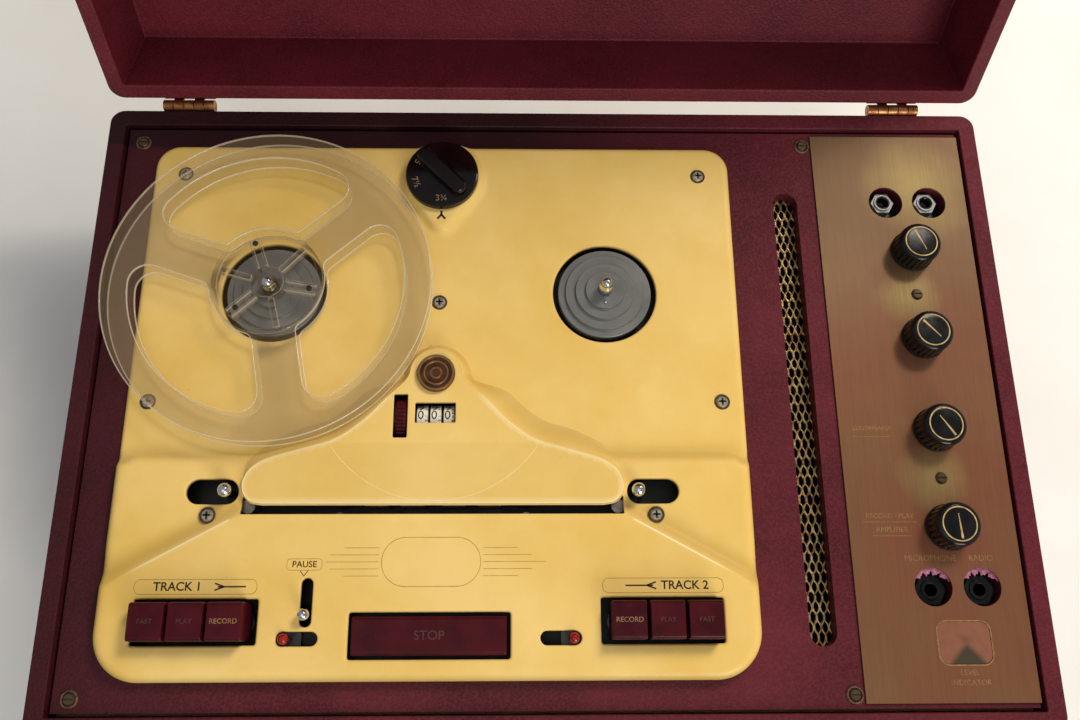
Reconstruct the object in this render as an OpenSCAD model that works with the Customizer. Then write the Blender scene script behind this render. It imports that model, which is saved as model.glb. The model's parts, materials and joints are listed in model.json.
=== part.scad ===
// Portable valve tape recorder in a covered wooden case with a hinged lid.
// X runs left to right, Y front to back, Z up. The origin is the middle of the flat underside.

/* [Case] */
// Outside width of the case
case_w = 512; // [500:1:560]
// Outside depth of the case
case_d = 346; // [342:1:380]
// Height of the lower half, underside to rim
base_h = 160; // [152:1:200]
// Thickness of the covered side walls
wall = 9.5; // [8:0.5:11]
// Thickness of the floor
floor_t = 9; // [6:0.5:12]
// Radius of the outer upright corners
corner_r = 8; // [4:0.5:20]
// Width of the battens that carry the mounting board
batten_w = 12; // [8:1:15]
// Height of the battens
batten_h = 15; // [10:1:20]

/* [Lid] */
// Outside height of the lid
lid_h = 58; // [45:1:80]
// Thickness of the lid's walls
lid_wall = 9; // [7:0.5:11]
// Thickness of the lid's top
lid_top = 7; // [4:0.5:10]
// Gap between the closed lid and the rim
lid_gap = 0.8; // [0.5:0.1:2]
// How far the lid stands open, in degrees
lid_open = 112; // [90:1:125]
// Length of one hinge
hinge_l = 30; // [20:1:45]
// Radius of the hinge knuckles
knuckle_r = 3.4; // [2.8:0.1:4.5]
// Radius of the hinge pins
hinge_pin_r = 1.5; // [1:0.1:2]
// Knuckles on one hinge
knuckles = 5; // [3:2:7]

/* [Mounting board] */
// Thickness of the mounting board
board_t = 9; // [6:0.5:12]
// Depth of the board's top below the rim
board_drop = 3; // [2:0.5:6]
// Gap between the board and the walls
board_gap = 1.8; // [0.5:0.1:3]
// Length of the vent slot
vent_l = 254; // [200:1:270]
// Width of the vent slot
vent_w = 14; // [10:0.5:20]
// Length of one opening of the vent's expanded mesh
mesh_pitch = 4.6; // [4:0.1:7]
// Width of one strand of the mesh
mesh_strand = 0.9; // [0.6:0.1:1.2]

/* [Deck] */
// Distance of the deck cover from the case's left side
deck_left_gap = 29.5; // [26:0.5:34]
// Distance of the deck cover from the case's right side
deck_right_gap = 149.5; // [145:0.5:155]
// Distance of the deck cover from the back of the case
deck_back_gap = 23; // [20:0.5:26]
// Distance of the deck cover from the front of the case
deck_front_gap = 25.5; // [22:0.5:28]
// Thickness of the moulding
deck_t = 3; // [2:0.1:3]
// How far the cover laps over the board
deck_lap = 6; // [4:0.5:6]
// Rise of the flanks above the rear of the deck
flank_rise = 4; // [2:0.5:5]
// Rise of the keyboard above the rear of the deck
keyboard_rise = 6; // [5:0.5:8]
// Rise of the head cover above the rear of the deck
head_rise = 8; // [7:0.5:12]
// Width of the slot that the tape runs in
tape_gap = 4.4; // [4.2:0.1:6]

/* [Reel and turntables] */
// Radius of the reel's hub
hub_r = 30; // [25:0.5:40]
// Thickness over both flanges
reel_t = 12.8; // [11:0.1:14]
// Radius of the turntables
turntable_r = 26; // [24:0.5:28]
// Height of the turntable's seat for the reel
seat_rise = 5; // [3:0.1:6]
// Radius of the spindle
spindle_r = 3.9; // [3.5:0.1:4]

/* [Keys and controls] */
// Width of one key
key_w = 19.4; // [17:0.1:19.6]
// Depth of one key
key_d = 18.5; // [15:0.1:19]
// Rise of the keys above the rear of the deck
key_rise = 13; // [10:0.5:16]
// Travel of a key
key_travel = 4; // [2:0.5:5]
// Width of the stop bar
stop_w = 76.8; // [60:0.2:80]
// Radius of the speed knob
speed_knob_r = 20.8; // [16:0.1:21]
// Radius of the small control knobs
knob_r = 12.2; // [9:0.1:14]
// Height of the small control knobs
knob_h = 14.4; // [10:0.1:20]
// Radius of the bore of a jack socket
jack_bore_r = 3.2; // [2.5:0.05:3.5]

/* [Control panel] */
// Width of the brass panel
panel_w = 88; // [84:0.5:90]
// Thickness of the brass panel
panel_t = 1.2; // [0.8:0.1:2]
// Radius of the panel's holes over the jack sockets
jack_hole_r = 9.8; // [9:0.1:10.5]

/* [Mechanism] */
// Radius of the capstans
capstan_r = 3; // [2:0.1:3]
// Radius of the pressure rollers
roller_r = 9; // [7:0.1:9.5]
// Radius of the motors
motor_r = 30; // [24:0.5:32]
// Radius of the motor pulley's step that the belt runs on
pulley_r = 6; // [5:0.1:8]

/* [Hidden] */
$fn = 48;

// Clearances: running fit of a shaft, free gap round moving pieces, gap above a sliding seat
// and close fit of a fixed piece in its hole. Every cut runs 1 mm past the face that it opens.
run = 0.05;
free = 0.4;
seat = 0.3;
close = 0.1;

// Colours of the real materials
leathercloth = "#6b2a3c";
cream = "#ecca80";
maroon = "#4c1222";
grey = "#70706c";
chrome = "#d5d8da";
copper = "#b98050";
steel = "#8d9094";
ebonite = "#1c1c1e";

// Case: inside faces, hinge line and board heights
in_x = case_w/2 - wall;
in_y = case_d/2 - wall;
hinge_y = case_d/2 + knuckle_r + free;
hinge_z = base_h - 1;
hinge_leaf_t = 1.2;
hinge_leaf_h = 18;
hinge_xs = [-case_w/2 + 45, case_w/2 - 48];
knuckle_gap = 0.3;
lid_z = base_h + lid_gap;
inner_r = max(corner_r - wall, 1);
board_top = base_h - board_drop;
board_bottom = board_top - board_t;

// Front fittings and mains inlet
catch_y = -case_d/2 - 5;
catch_z = base_h - 22;
catch_pin_r = 1.5;
catch_w = 16;
catch_l = 36;
catch_t = 2;
catch_window = [9, 8];
catch_sill = 4;
cheek = [2, 8];
handle_y = -case_d/2 - 9.5;
handle_z = base_h - 60;
handle_half = 62;
handle_pin_r = 3;
handle_arm_r = 5;
handle_grip_r = 8;
handle_drop = 36;
bracket = [12, 20];
bracket_lip = 6;
inlet_at = [case_w/2 - 60, floor_t + 30];
inlet_flange = [40, 28];
inlet_flange_t = 3;
inlet_body = [32, 22];
inlet_well = [27, 17];
inlet_depth = 16;
inlet_skin = 2;
inlet_pin_r = 2;
inlet_pin_half = 6;

// Deck frame: X = 0 is its centre line, Y = 0 the spindle line, Z = 0 the top of its rear part
deck_w = case_w - deck_left_gap - deck_right_gap;
deck_d = case_d - deck_back_gap - deck_front_gap;
spindle_back = 91.8;
deck_x = -case_w/2 + deck_left_gap + deck_w/2;
deck_z = board_top + deck_t;
spindle_y = case_d/2 - deck_back_gap - spindle_back;
half_w = deck_w/2;
spindle_half = 0.5526*half_w;
reel_gap = 3.1;
reel_r = spindle_half - reel_gap;
head_gap = 6;
deck_back = spindle_back;
deck_front = deck_back - deck_d;
rear_r = 14;
front_r = 24;
flank_y = -94.5;
flank_corner_r = 12;
bay_half = 0.5946*half_w;
bay_front = -124.3;
head_front = bay_front + tape_gap;
skirt = 3;
bay_cut = [2*bay_half - 10, 24];
bay_slot = [2*bay_half + 3, 10];
keyboard_y = (bay_front + deck_front)/2;
neck_cut = [54, 66];
turntable_hole_r = turntable_r + 2.9;

// Places on the deck, in the deck frame
rear_screws = concat([[0, -5.9]],
    [for (s = [-1, 1]) [s*(half_w - 18.3), deck_back - 18.8]], [for (s = [-1, 1]) [s*(half_w - 12.3), -63]]);
flank_screws = [for (s = [-1, 1]) [s*0.693*half_w, bay_front]];
screw_head_r = 3.3;
screw_head_h = 1.5;
screw_r = 1.5;
screw_hole_r = screw_r + close;
speed_at = [0, 70];
speed_boss_r = speed_knob_r + 3;
speed_boss_h = 4;
marker_at = [0, 44.5];
marker_r = 12;
nut_at = [0, -49.6];
nut_r = 10.2;
counter_at = [0, -72.6];
counter_win = [21.4, 11];
counter_win_y = -70.9;
reset_x = -18.3;
reset_slot = [7.4, 23.6];
guide_slot_at = [0.686*half_w, -112];
guide_slot = [27, 13];
guide_pin_at = [guide_slot_at[0] - 8.2, -112.4];
pin_rise = 14;
guide_pin_r = 2.2;
guide_ball_r = 3.6;
slide_t = 2;
pause_at = [-0.3706*half_w, deck_front + 37.7];
pause_slot = [6, 24];
pause_pin_y = pause_at[1] - 6;
pause_plate = [10, 11];
pause_pin_r = 2;
pause_ball_r = 3;
record_slot_at = [0.3922*half_w, deck_front + 20.2];
record_slot = [20.6, 7];
record_pin_x = record_slot_at[0] + 6.5;
record_plate = [12, 8];
record_pin_r = 1.5;
record_bead_r = 2.8;
keys_at = [0.6985*half_w, deck_front + 28.4];
key_gap = 0.8;
key_margin = [1, 1.9];
stop_at = [0, deck_front + 21.5];
stop_d = 18.8;
stop_rise = keyboard_rise + 1;
keys_cut = [3*key_w + 2*key_gap + 2*key_margin[0], key_d + 2*key_margin[1]];
stop_cut = [stop_w + 2*key_margin[0] + 1.6, stop_d + 2*key_margin[1]];

// Reel
flange_t = 1.8;
spoke_half = 12;
spoke_angles = [41, 161, 281];
window_inner = hub_r + 1.5;
window_outer = reel_r - 15;
reel_bore_r = spindle_r + 0.2;

// Chassis plate under the deck, and what hangs on it
plate_t = 2.5;
plate_top = -deck_t - 7.5;
plate_bottom = plate_top - plate_t;
plate_margin = 1.5;
pillar_r = 4;
bearing_r = 9;
turntable_bearing_l = 11;
speed_bearing_l = 6;
capstan_bearing_l = 16;
shaft_r = 4;
reset_r = 11.2;
counter_z = head_rise + 0.5 - reset_r;
head_skin = 2.5;
digit_r = head_rise - head_skin - free - counter_z;
digit_w = 5.6;
digit_gap = 1.5;
axle_r = 1.5;
capstan_at = [0.485*bay_half, bay_front - 1.4];
flywheel_r = capstan_at[0] - 4;
pinch_at = [capstan_at[0], head_front + 9.6];
pinch_pivot_at = [0.788*bay_half, -104];
tape_arm_pivot_at = [guide_pin_at[0], -62];
tape_guide_at = [bay_half - 2.8, bay_front + 5.1];
tape_guide_r = 3.6;
arm_w = 8;
arm_t = 2.5;
stud_r = 3;
flywheel_top = plate_bottom - capstan_bearing_l - 2;
flywheel_t = 12;
motor_at = [0.7087*half_w, -78];
motor_top = flywheel_top - flywheel_t - 5;
motor_h = 50;
belt_z = flywheel_top - flywheel_t/2;
belt_h = 4;
belt_t = 2;
key_under = -2;
stem_w = 7;
stem_pocket = stem_w + 2*free;
spring_r = 6.6;
spring_wire = 0.8;
key_stems = [for (s = [-1, 1], i = [-1:1]) [s*keys_at[0] + i*(key_w + key_gap), keys_at[1]]];
stop_stems = [for (s = [-1, 1]) stop_at + [s*stop_w/4, 0]];
foot_w = stem_w + 3;
foot_t = 2;

// Brass panel and amplifier
panel_gap = 1.5;
panel_x1 = in_x - panel_gap;
panel_x0 = panel_x1 - panel_w;
panel_y1 = in_y - 4.3;
panel_y0 = -panel_y1;
panel_top = board_top + panel_t;
knob_x = panel_x1 - 35.8;
knob_y0 = panel_y1 - 74.4;
jack_x = knob_x + 1.3;
jack_half = 12.7;
upper_jack_y = panel_y1 - 43.2;
lower_jack_y = panel_y0 + 56.4;
knob_pitch = (knob_y0 - lower_jack_y - 30.4)/3;
knob_ys = [for (i = [0:3]) knob_y0 - i*knob_pitch];
window_at = [knob_x + 1.1, panel_y0 + 28.8];
window = [27, 21];
panel_screws = [[knob_x, knob_y0 - knob_pitch/2], [knob_x, knob_y0 - 2.5*knob_pitch]];
vent_x = panel_x0 - 18;
vent_y = -5;
board_screws = [[-in_x + 10.5, in_y - 10.5], [panel_x0 - 5, in_y - 10.5],
    [-in_x + 10.5, -in_y + 8.5], [panel_x0 - 5, -in_y + 8.5]];
sheet = 1.5;
amp_x0 = panel_x0 - 58;
amp_x1 = in_x - batten_w - 1;
amp_y = in_y - batten_w - 1.5;
tray_z = floor_t + 50;
chassis_top = board_bottom;
pot_r = 12;
pot_h = 12;
bush_r = 5;
knob_shaft_r = 3;
jack_r = 8;
jack_l = 20;
jack_nut_t = 5.2;
// The sockets stand a little out of the middle of their holes
upper_jack_shift = 2;
lower_jack_shift = -1.2;
chrome_nut_r = 6.8;
black_nut_r = 8.6;
tube_r = 10.5;
tube_l = 30;
speaker_at = [-case_w/2 + 106, (floor_t + board_bottom - batten_h)/2];
speaker_r = (board_bottom - batten_h - floor_t)/2 - 6;
valve_r = 10.5;
valve_h = 62;
mains_transformer = [60, 66, 56];
output_transformer = [42, 46, 40];
winding_lap = 8;
grille_r = speaker_r - 10;
grille_slot = 6;
tube_drop = 3;

// Points of an arc about c, from angle a0 to a1
function arc(c, r, a0, a1, n = 12) =
    [for (i = [0:n]) c + r*[cos(a0 + (a1 - a0)*i/n), sin(a0 + (a1 - a0)*i/n)]];
// Points of a cubic curve through p[0] and p[3]
function curve(p, n = 12) = [for (i = [0:n]) let (t = i/n, s = 1 - t)
    s*s*s*p[0] + 3*s*s*t*p[1] + 3*s*t*t*p[2] + t*t*t*p[3]];
function mirrored(points) = [for (i = [len(points) - 1:-1:0]) [-points[i][0], points[i][1]]];

module at_deck() {
    translate([deck_x, spindle_y, deck_z]) children();
}

module lid_pose() {
    translate([0, hinge_y, hinge_z]) rotate([-lid_open, 0, 0]) translate([0, -hinge_y, -hinge_z]) children();
}

module rounded(w, d, r) {
    square([w - 2*r, d], center = true);
    square([w, d - 2*r], center = true);
    for (x = [-1, 1], y = [-1, 1]) translate([x*(w/2 - r), y*(d/2 - r)]) circle(r);
}

module stadium(w, d) {
    r = min(w, d)/2;
    square([max(w - d, 0.01), 2*r], center = true);
    square([2*r, max(d - w, 0.01)], center = true);
    for (s = [-1, 1]) translate([s*max(w - d, 0)/2, s*max(d - w, 0)/2]) circle(r);
}

module hole(r, top, bottom) {
    translate([0, 0, bottom]) cylinder(r = r, h = top - bottom);
}

module slab(top, bottom) {
    translate([0, 0, bottom]) linear_extrude(top - bottom) children();
}

// Case

module case_base() {
    color(leathercloth) difference() {
        linear_extrude(base_h) rounded(case_w, case_d, corner_r);
        translate([0, 0, floor_t]) linear_extrude(base_h) rounded(2*in_x, 2*in_y, inner_r);
        for (i = [-3:3], x = 2*i*grille_slot)
            translate([speaker_at[0] + x, -case_d/2 + wall/2, speaker_at[1]])
                cube([grille_slot, 2*wall, 2*sqrt(grille_r*grille_r - x*x)], center = true);
        translate([inlet_at[0], case_d/2 - wall/2, inlet_at[1]])
            cube([inlet_body[0] + 2*close, 2*wall, inlet_body[1] + 2*close], center = true);
    }
}

module board_battens() {
    color("#b08850") translate([0, 0, board_bottom - batten_h]) for (s = [-1, 1]) {
        translate([-in_x + inner_r, s > 0 ? in_y - batten_w : -in_y, 0])
            cube([2*(in_x - inner_r), batten_w, batten_h]);
        translate([s > 0 ? in_x - batten_w : -in_x, -in_y + batten_w + seat, 0])
            cube([batten_w, 2*(in_y - batten_w - seat), batten_h]);
    }
}

module mounting_board() {
    color(leathercloth) slab(board_top, board_bottom) difference() {
        square([2*(in_x - board_gap), 2*(in_y - board_gap)], center = true);
        translate([deck_x, spindle_y + (deck_back + deck_front)/2])
            rounded(deck_w - 2*deck_lap, deck_d - 2*deck_lap, front_r - deck_lap);
        translate([vent_x, vent_y]) stadium(vent_w, vent_l);
        for (x = [-1, 1], y = [upper_jack_y, lower_jack_y]) translate([jack_x + x*jack_half, y])
            circle(jack_hole_r + 0.6);
        for (y = knob_ys) translate([knob_x, y]) circle(bush_r + 2);
        translate(window_at) square([window[0] + 3, tube_l + 3], center = true);
        for (p = concat(board_screws, panel_screws)) translate(p) circle(screw_hole_r);
    }
}

// Staggered rows of lozenge openings inside a plain border
module vent_mesh() {
    border = 4;
    columns = 3;
    cell = [vent_w/columns, mesh_pitch];
    rows = floor((vent_l - vent_w)/cell[1]);
    color("#c9a860") translate([vent_x, vent_y, 0]) slab(board_bottom, board_bottom - 0.8) difference() {
        square([vent_w + 2*border, vent_l + 2*border], center = true);
        for (j = [0:rows - 1], half = [0, 1], i = [0:columns - 1 - half])
            translate([(i - (columns - 1 - half)/2)*cell[0], (j - (rows - 1)/2 + half/2)*cell[1]])
                polygon([[cell[0] - mesh_strand, 0]/2, [0, cell[1] - mesh_strand]/2,
                    [mesh_strand - cell[0], 0]/2, [0, mesh_strand - cell[1]]/2]);
    }
}

module lid_shell() {
    color(leathercloth) lid_pose() translate([0, 0, lid_z]) difference() {
        linear_extrude(lid_h) rounded(case_w, case_d, corner_r);
        translate([0, 0, -1]) linear_extrude(lid_h - lid_top + 1)
            rounded(case_w - 2*lid_wall, case_d - 2*lid_wall, max(corner_r - lid_wall, 1));
    }
}

// Knuckle i of a hinge whose middle is at x, with its tab towards the leaf
module knuckle(x, i, up, bore) {
    l = hinge_l/knuckles;
    x0 = x - hinge_l/2 + i*l + knuckle_gap/2;
    difference() {
        union() {
            translate([x0, hinge_y, hinge_z]) rotate([0, 90, 0])
                cylinder(r = knuckle_r, h = l - knuckle_gap);
            translate([x0, case_d/2 + free, up ? hinge_z : hinge_z - knuckle_r - 1])
                cube([l - knuckle_gap, hinge_leaf_t, knuckle_r + 1]);
        }
        translate([x0 - 1, hinge_y, hinge_z]) rotate([0, 90, 0]) cylinder(r = bore, h = l + 2);
    }
}

module hinge_case_leaves() {
    color(copper) for (x = hinge_xs) {
        translate([x - hinge_l/2, case_d/2, hinge_z - knuckle_r - free - hinge_leaf_h])
            cube([hinge_l, hinge_leaf_t + free, hinge_leaf_h]);
        for (i = [0:2:knuckles - 1]) knuckle(x, i, false, hinge_pin_r);
    }
}

module hinge_lid_leaves() {
    color(copper) lid_pose() for (x = hinge_xs) {
        translate([x - hinge_l/2, case_d/2, hinge_z + knuckle_r + free])
            cube([hinge_l, hinge_leaf_t + free, hinge_leaf_h]);
        for (i = [1:2:knuckles - 1]) knuckle(x, i, true, hinge_pin_r + run);
    }
}

module hinge_pins() {
    color(copper) for (x = hinge_xs) translate([x - hinge_l/2, hinge_y, hinge_z]) rotate([0, 90, 0])
        cylinder(r = hinge_pin_r, h = hinge_l);
}

// Front fittings: one catch, and two brackets for the carrying handle

module front_fittings() {
    color(copper) {
        translate([-catch_w/2 - 5, -case_d/2 - sheet, catch_z - 10]) cube([catch_w + 10, sheet, 20]);
        for (s = [-1, 1], x = s*(catch_w + cheek[0] + 1)/2)
            translate([x - cheek[0]/2, catch_y - 3, catch_z - cheek[1]/2])
                cube([cheek[0], -case_d/2 - catch_y + 3, cheek[1]]);
        translate([-catch_w/2 - cheek[0], catch_y, catch_z]) rotate([0, 90, 0])
            cylinder(r = catch_pin_r, h = catch_w + 2*cheek[0]);
        for (s = [-1, 1], x = s*(handle_half + bracket[0]/2)) difference() {
            translate([x - bracket[0]/2, handle_y - bracket_lip, handle_z - bracket[1]/2])
                cube([bracket[0], -case_d/2 - handle_y + bracket_lip, bracket[1]]);
            translate([x - bracket[0], handle_y, handle_z]) rotate([0, 90, 0])
                cylinder(r = handle_pin_r + run, h = 2*bracket[0]);
        }
    }
}

module catch_lever() {
    color(copper) difference() {
        union() {
            translate([-catch_w/2, catch_y, catch_z]) rotate([0, 90, 0])
                cylinder(r = catch_pin_r + 1.6, h = catch_w);
            translate([-catch_w/2, catch_y - catch_t/2, catch_z - catch_l])
                cube([catch_w, catch_t, catch_l]);
        }
        translate([-catch_w, catch_y, catch_z]) rotate([0, 90, 0])
            cylinder(r = catch_pin_r + run, h = 2*catch_w);
        translate([-catch_window[0]/2, catch_y - catch_t, catch_z - catch_l + catch_sill])
            cube([catch_window[0], 2*catch_t, catch_window[1]]);
    }
}

module catch_keeper() {
    nose = [catch_window[0] - 2, 2.5, 4.4];
    nose_z = catch_z + catch_l - catch_sill - catch_window[1]/2;
    color(copper) lid_pose() {
        translate([-catch_w/2, -case_d/2 - sheet, lid_z + 1]) cube([catch_w, sheet, 14]);
        translate([-nose[0]/2, catch_y - nose[1], nose_z - nose[2]/2])
            cube([nose[0], -case_d/2 - catch_y + nose[1], nose[2]]);
    }
}

module carrying_handle() {
    arm_x = handle_half - handle_arm_r - 1;
    color(maroon) {
        for (s = [-1, 1]) {
            translate([s > 0 ? arm_x : -handle_half - bracket[0], handle_y, handle_z])
                rotate([0, 90, 0]) cylinder(r = handle_pin_r, h = handle_half + bracket[0] - arm_x);
            translate([s*arm_x, handle_y, handle_z - handle_drop])
                cylinder(r = handle_arm_r, h = handle_drop + handle_arm_r);
        }
        translate([1 - handle_half, handle_y, handle_z - handle_drop]) rotate([0, 90, 0])
            cylinder(r = handle_grip_r, h = 2*handle_half - 2);
    }
}

// A box through the rear wall, with a flange outside and two pins in its well
module inlet_block(size, front, back) {
    translate([-size[0]/2, front, -size[1]/2]) cube([size[0], back - front, size[1]]);
}

module mains_inlet() {
    translate([inlet_at[0], case_d/2, inlet_at[1]]) {
        color(ebonite) difference() {
            union() {
                inlet_block(inlet_flange, 0, inlet_flange_t);
                inlet_block(inlet_body, inlet_flange_t - inlet_depth - inlet_skin, 1);
            }
            inlet_block(inlet_well, inlet_flange_t - inlet_depth, inlet_flange_t + 1);
        }
        color(steel) for (s = [-1, 1]) translate([s*inlet_pin_half, inlet_flange_t - inlet_depth - 1, 0])
            rotate([-90, 0, 0]) cylinder(r = inlet_pin_r, h = inlet_depth - 1);
    }
}

// Deck cover and head cover

module deck_outline(inset = 0) {
    polygon(concat(
        arc([half_w - rear_r, deck_back - rear_r], rear_r - inset, 0, 90),
        arc([-half_w + rear_r, deck_back - rear_r], rear_r - inset, 90, 180),
        arc([-half_w + front_r, deck_front + front_r], front_r - inset, 180, 270),
        arc([half_w - front_r, deck_front + front_r], front_r - inset, 270, 360)));
}

module flank_region(inset = 0) {
    c = half_w - flank_corner_r;
    difference() {
        polygon(concat(
            arc([c, flank_y - flank_corner_r], flank_corner_r - inset, 0, 90),
            arc([-c, flank_y - flank_corner_r], flank_corner_r - inset, 90, 180),
            [[-half_w + inset, deck_front], [half_w - inset, deck_front]]));
        translate([-bay_half - inset, bay_front]) square([2*(bay_half + inset), -bay_front]);
    }
}

module keyboard_region(inset = 0) {
    edge = [[bay_half, bay_front - inset], [half_w - 10, keyboard_y + 9 - inset],
        [half_w, keyboard_y + 1.3 - inset], [half_w, deck_front]];
    polygon(concat(edge, mirrored(edge)));
}

module speed_boss_outline() {
    tip_r = marker_r - 3;
    d = speed_at[1] - marker_at[1];
    b = acos((speed_boss_r - tip_r)/d);
    side = [sin(b), -cos(b)];
    edge = [speed_at + speed_boss_r*side, marker_at + tip_r*side];
    translate(speed_at) circle(speed_boss_r);
    translate(marker_at) circle(tip_r);
    polygon(concat(edge, mirrored(edge)));
}

module deck_cover() {
    color(cream) at_deck() difference() {
        union() {
            slab(0, -deck_t) deck_outline();
            slab(flank_rise, -deck_t) intersection() {
                deck_outline();
                flank_region();
            }
            slab(keyboard_rise, -deck_t) intersection() {
                deck_outline();
                keyboard_region();
            }
            slab(speed_boss_h, -deck_t) intersection() {
                deck_outline();
                speed_boss_outline();
            }
        }
        slab(flank_rise - skirt, -deck_t - 1) intersection() {
            deck_outline(skirt);
            flank_region(skirt);
        }
        slab(keyboard_rise - skirt, -deck_t - 1) intersection() {
            deck_outline(skirt);
            keyboard_region(skirt);
        }
        slab(head_rise, -deck_t - 1) {
            for (c = [bay_cut, bay_slot, neck_cut]) translate([-c[0]/2, bay_front]) square(c);
        }
        for (s = [-1, 1]) {
            translate([s*spindle_half, 0]) hole(turntable_hole_r, 1, -deck_t - 1);
            translate([s*guide_slot_at[0], guide_slot_at[1]]) slab(head_rise, -deck_t - 1)
                stadium(guide_slot[0], guide_slot[1]);
            translate([s*record_slot_at[0], record_slot_at[1]]) slab(head_rise, -deck_t - 1)
                stadium(record_slot[0], record_slot[1]);
            translate([s*keys_at[0], keys_at[1]]) slab(head_rise, -deck_t - 1)
                square(keys_cut, center = true);
            translate([s*capstan_at[0], capstan_at[1]])
                hole(capstan_r + 1.2, keyboard_rise - skirt, -deck_t - 1);
        }
        translate(stop_at) slab(head_rise, -deck_t - 1) square(stop_cut, center = true);
        translate(pause_at) slab(head_rise, -deck_t - 1) stadium(pause_slot[0], pause_slot[1]);
        translate(speed_at) hole(knob_shaft_r + free, speed_boss_h + 1, -deck_t - 1);
        translate(nut_at) hole(stud_r + free, 1, -deck_t - 1);
        for (p = concat(rear_screws, flank_screws)) translate(p) hole(screw_hole_r, head_rise, -deck_t - 1);
    }
}

// Point beside a reel on the right-hand turntable, at angle a about it
function beside_reel(a) = [spindle_half, 0] + (reel_r + head_gap)*[cos(a), sin(a)];

module head_outline() {
    neck_r = nut_r + 3.3;
    end_r = 8;
    end_x = bay_half - end_r - seat;
    edge = concat(arc(nut_at, neck_r, 90, 0),
        curve([nut_at + [neck_r, -1.4], beside_reel(223.7), beside_reel(245), [end_x + 3, -100]]),
        arc([end_x, head_front + end_r], end_r, 60, -90));
    polygon(concat(edge, mirrored(edge)));
}

module head_cover() {
    color(cream) at_deck() difference() {
        slab(head_rise, 0) head_outline();
        slab(head_rise - head_skin, -1) offset(delta = -head_skin) head_outline();
        translate([-bay_half + 9, head_front - 1, -1]) cube([2*bay_half - 18, 6, head_rise - head_skin + 1]);
        translate([0, counter_win_y]) slab(head_rise + 1, 0) square(counter_win, center = true);
        translate([reset_x, counter_at[1]]) slab(head_rise + 1, 0) square(reset_slot, center = true);
        translate(nut_at) hole(stud_r + free, head_rise + 1, 0);
    }
}

module medallion_nut() {
    color("#5a3a20") at_deck() translate(nut_at) {
        translate([0, 0, head_rise]) rotate_extrude()
            polygon([[0, 0], [nut_r, 0], [nut_r, 2], [nut_r - 0.8, 2.8], [nut_r - 2, 2.8],
                [nut_r - 2.4, 2.2], [0, 2.2]]);
        hole(stud_r, head_rise + 1, plate_top + 1);
    }
}

module speed_knob() {
    z0 = speed_boss_h + seat;
    color("#180c0e") at_deck() translate(speed_at) {
        translate([0, 0, z0]) rotate_extrude($fn = 96)
            polygon([[0, 0], [speed_knob_r, 0], [speed_knob_r, 3], [speed_knob_r - 1.2, 4.2], [0, 4.2]]);
        translate([0, 0, z0 + 3]) rotate([0, 0, -45]) linear_extrude(6.5) stadium(1.75*speed_knob_r, 9);
        hole(knob_shaft_r, z0 + 1, plate_bottom - speed_bearing_l - 2);
    }
}

// Counter, with its reset wheel on the same axle

module counter_place() {
    at_deck() translate([counter_at[0], counter_at[1], counter_z]) children();
}

module counter_wheels() {
    color("#e8e4d8") counter_place() for (i = [-1:1]) translate([i*(digit_w + digit_gap) - digit_w/2, 0, 0])
        rotate([0, 90, 0]) difference() {
            cylinder(r = digit_r, h = digit_w);
            translate([0, 0, -1]) cylinder(r = axle_r + run, h = digit_w + 2);
        }
}

module reset_wheel() {
    w = reset_slot[0] - 1;
    color(maroon) counter_place() translate([reset_x - w/2, 0, 0]) rotate([0, 90, 0]) difference() {
        cylinder(r = reset_r, h = w);
        translate([0, 0, -1]) cylinder(r = axle_r + run, h = w + 2);
        for (a = [0:12:359]) rotate(a) translate([reset_r + 0.3, 0, -1])
            cylinder(r = 0.8, h = w + 2, $fn = 16);
    }
}

// Turntables and reel

module turntable(s) {
    ring = turntable_r - 4.2;
    step = [5.5, 1.8];
    rim = -0.4;
    drum_r = 30;
    drum = [plate_bottom - 15, plate_bottom - 21];
    foot = plate_bottom - 30;
    color(grey) at_deck() translate([s*spindle_half, 0, 0]) rotate_extrude($fn = 96)
        polygon([[0, foot], [shaft_r, foot], [shaft_r, drum[1]], [drum_r, drum[1]], [drum_r, drum[0]],
            [shaft_r, drum[0]], [shaft_r, -6], [turntable_r, -6], [turntable_r, rim - 0.5],
            [turntable_r - 0.5, rim], [ring, rim], [ring, seat_rise - 2*step[1]],
            [ring - step[0], seat_rise - 2*step[1]], [ring - step[0], seat_rise - step[1]],
            [ring - 2*step[0], seat_rise - step[1]], [ring - 2*step[0], seat_rise], [spindle_r, seat_rise],
            [spindle_r, seat_rise + 6.5], [2.2, seat_rise + 8.4], [2.2, seat_rise + 8.8],
            [3, seat_rise + 10], [2.6, seat_rise + 11.6], [1.4, seat_rise + 12.6], [0, seat_rise + 12.8]]);
}

module left_turntable() {
    turntable(-1);
}

module right_turntable() {
    turntable(1);
}

// One window of a flange: a ring sector between two spokes, with parallel spoke sides
module reel_window(spoke) {
    turn = 360/len(spoke_angles);
    corner = 6;
    outer = asin(spoke_half/window_outer) + corner;
    inner = asin(spoke_half/window_inner);
    polygon(concat(
        arc([0, 0], window_outer, spoke + outer, spoke + turn - outer, 16),
        arc([0, 0], window_inner, spoke + turn - inner, spoke + inner, 10)));
}

module flange_outline() {
    difference() {
        circle(reel_r, $fn = 128);
        circle(reel_bore_r);
        for (a = spoke_angles) reel_window(a);
    }
}

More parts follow.
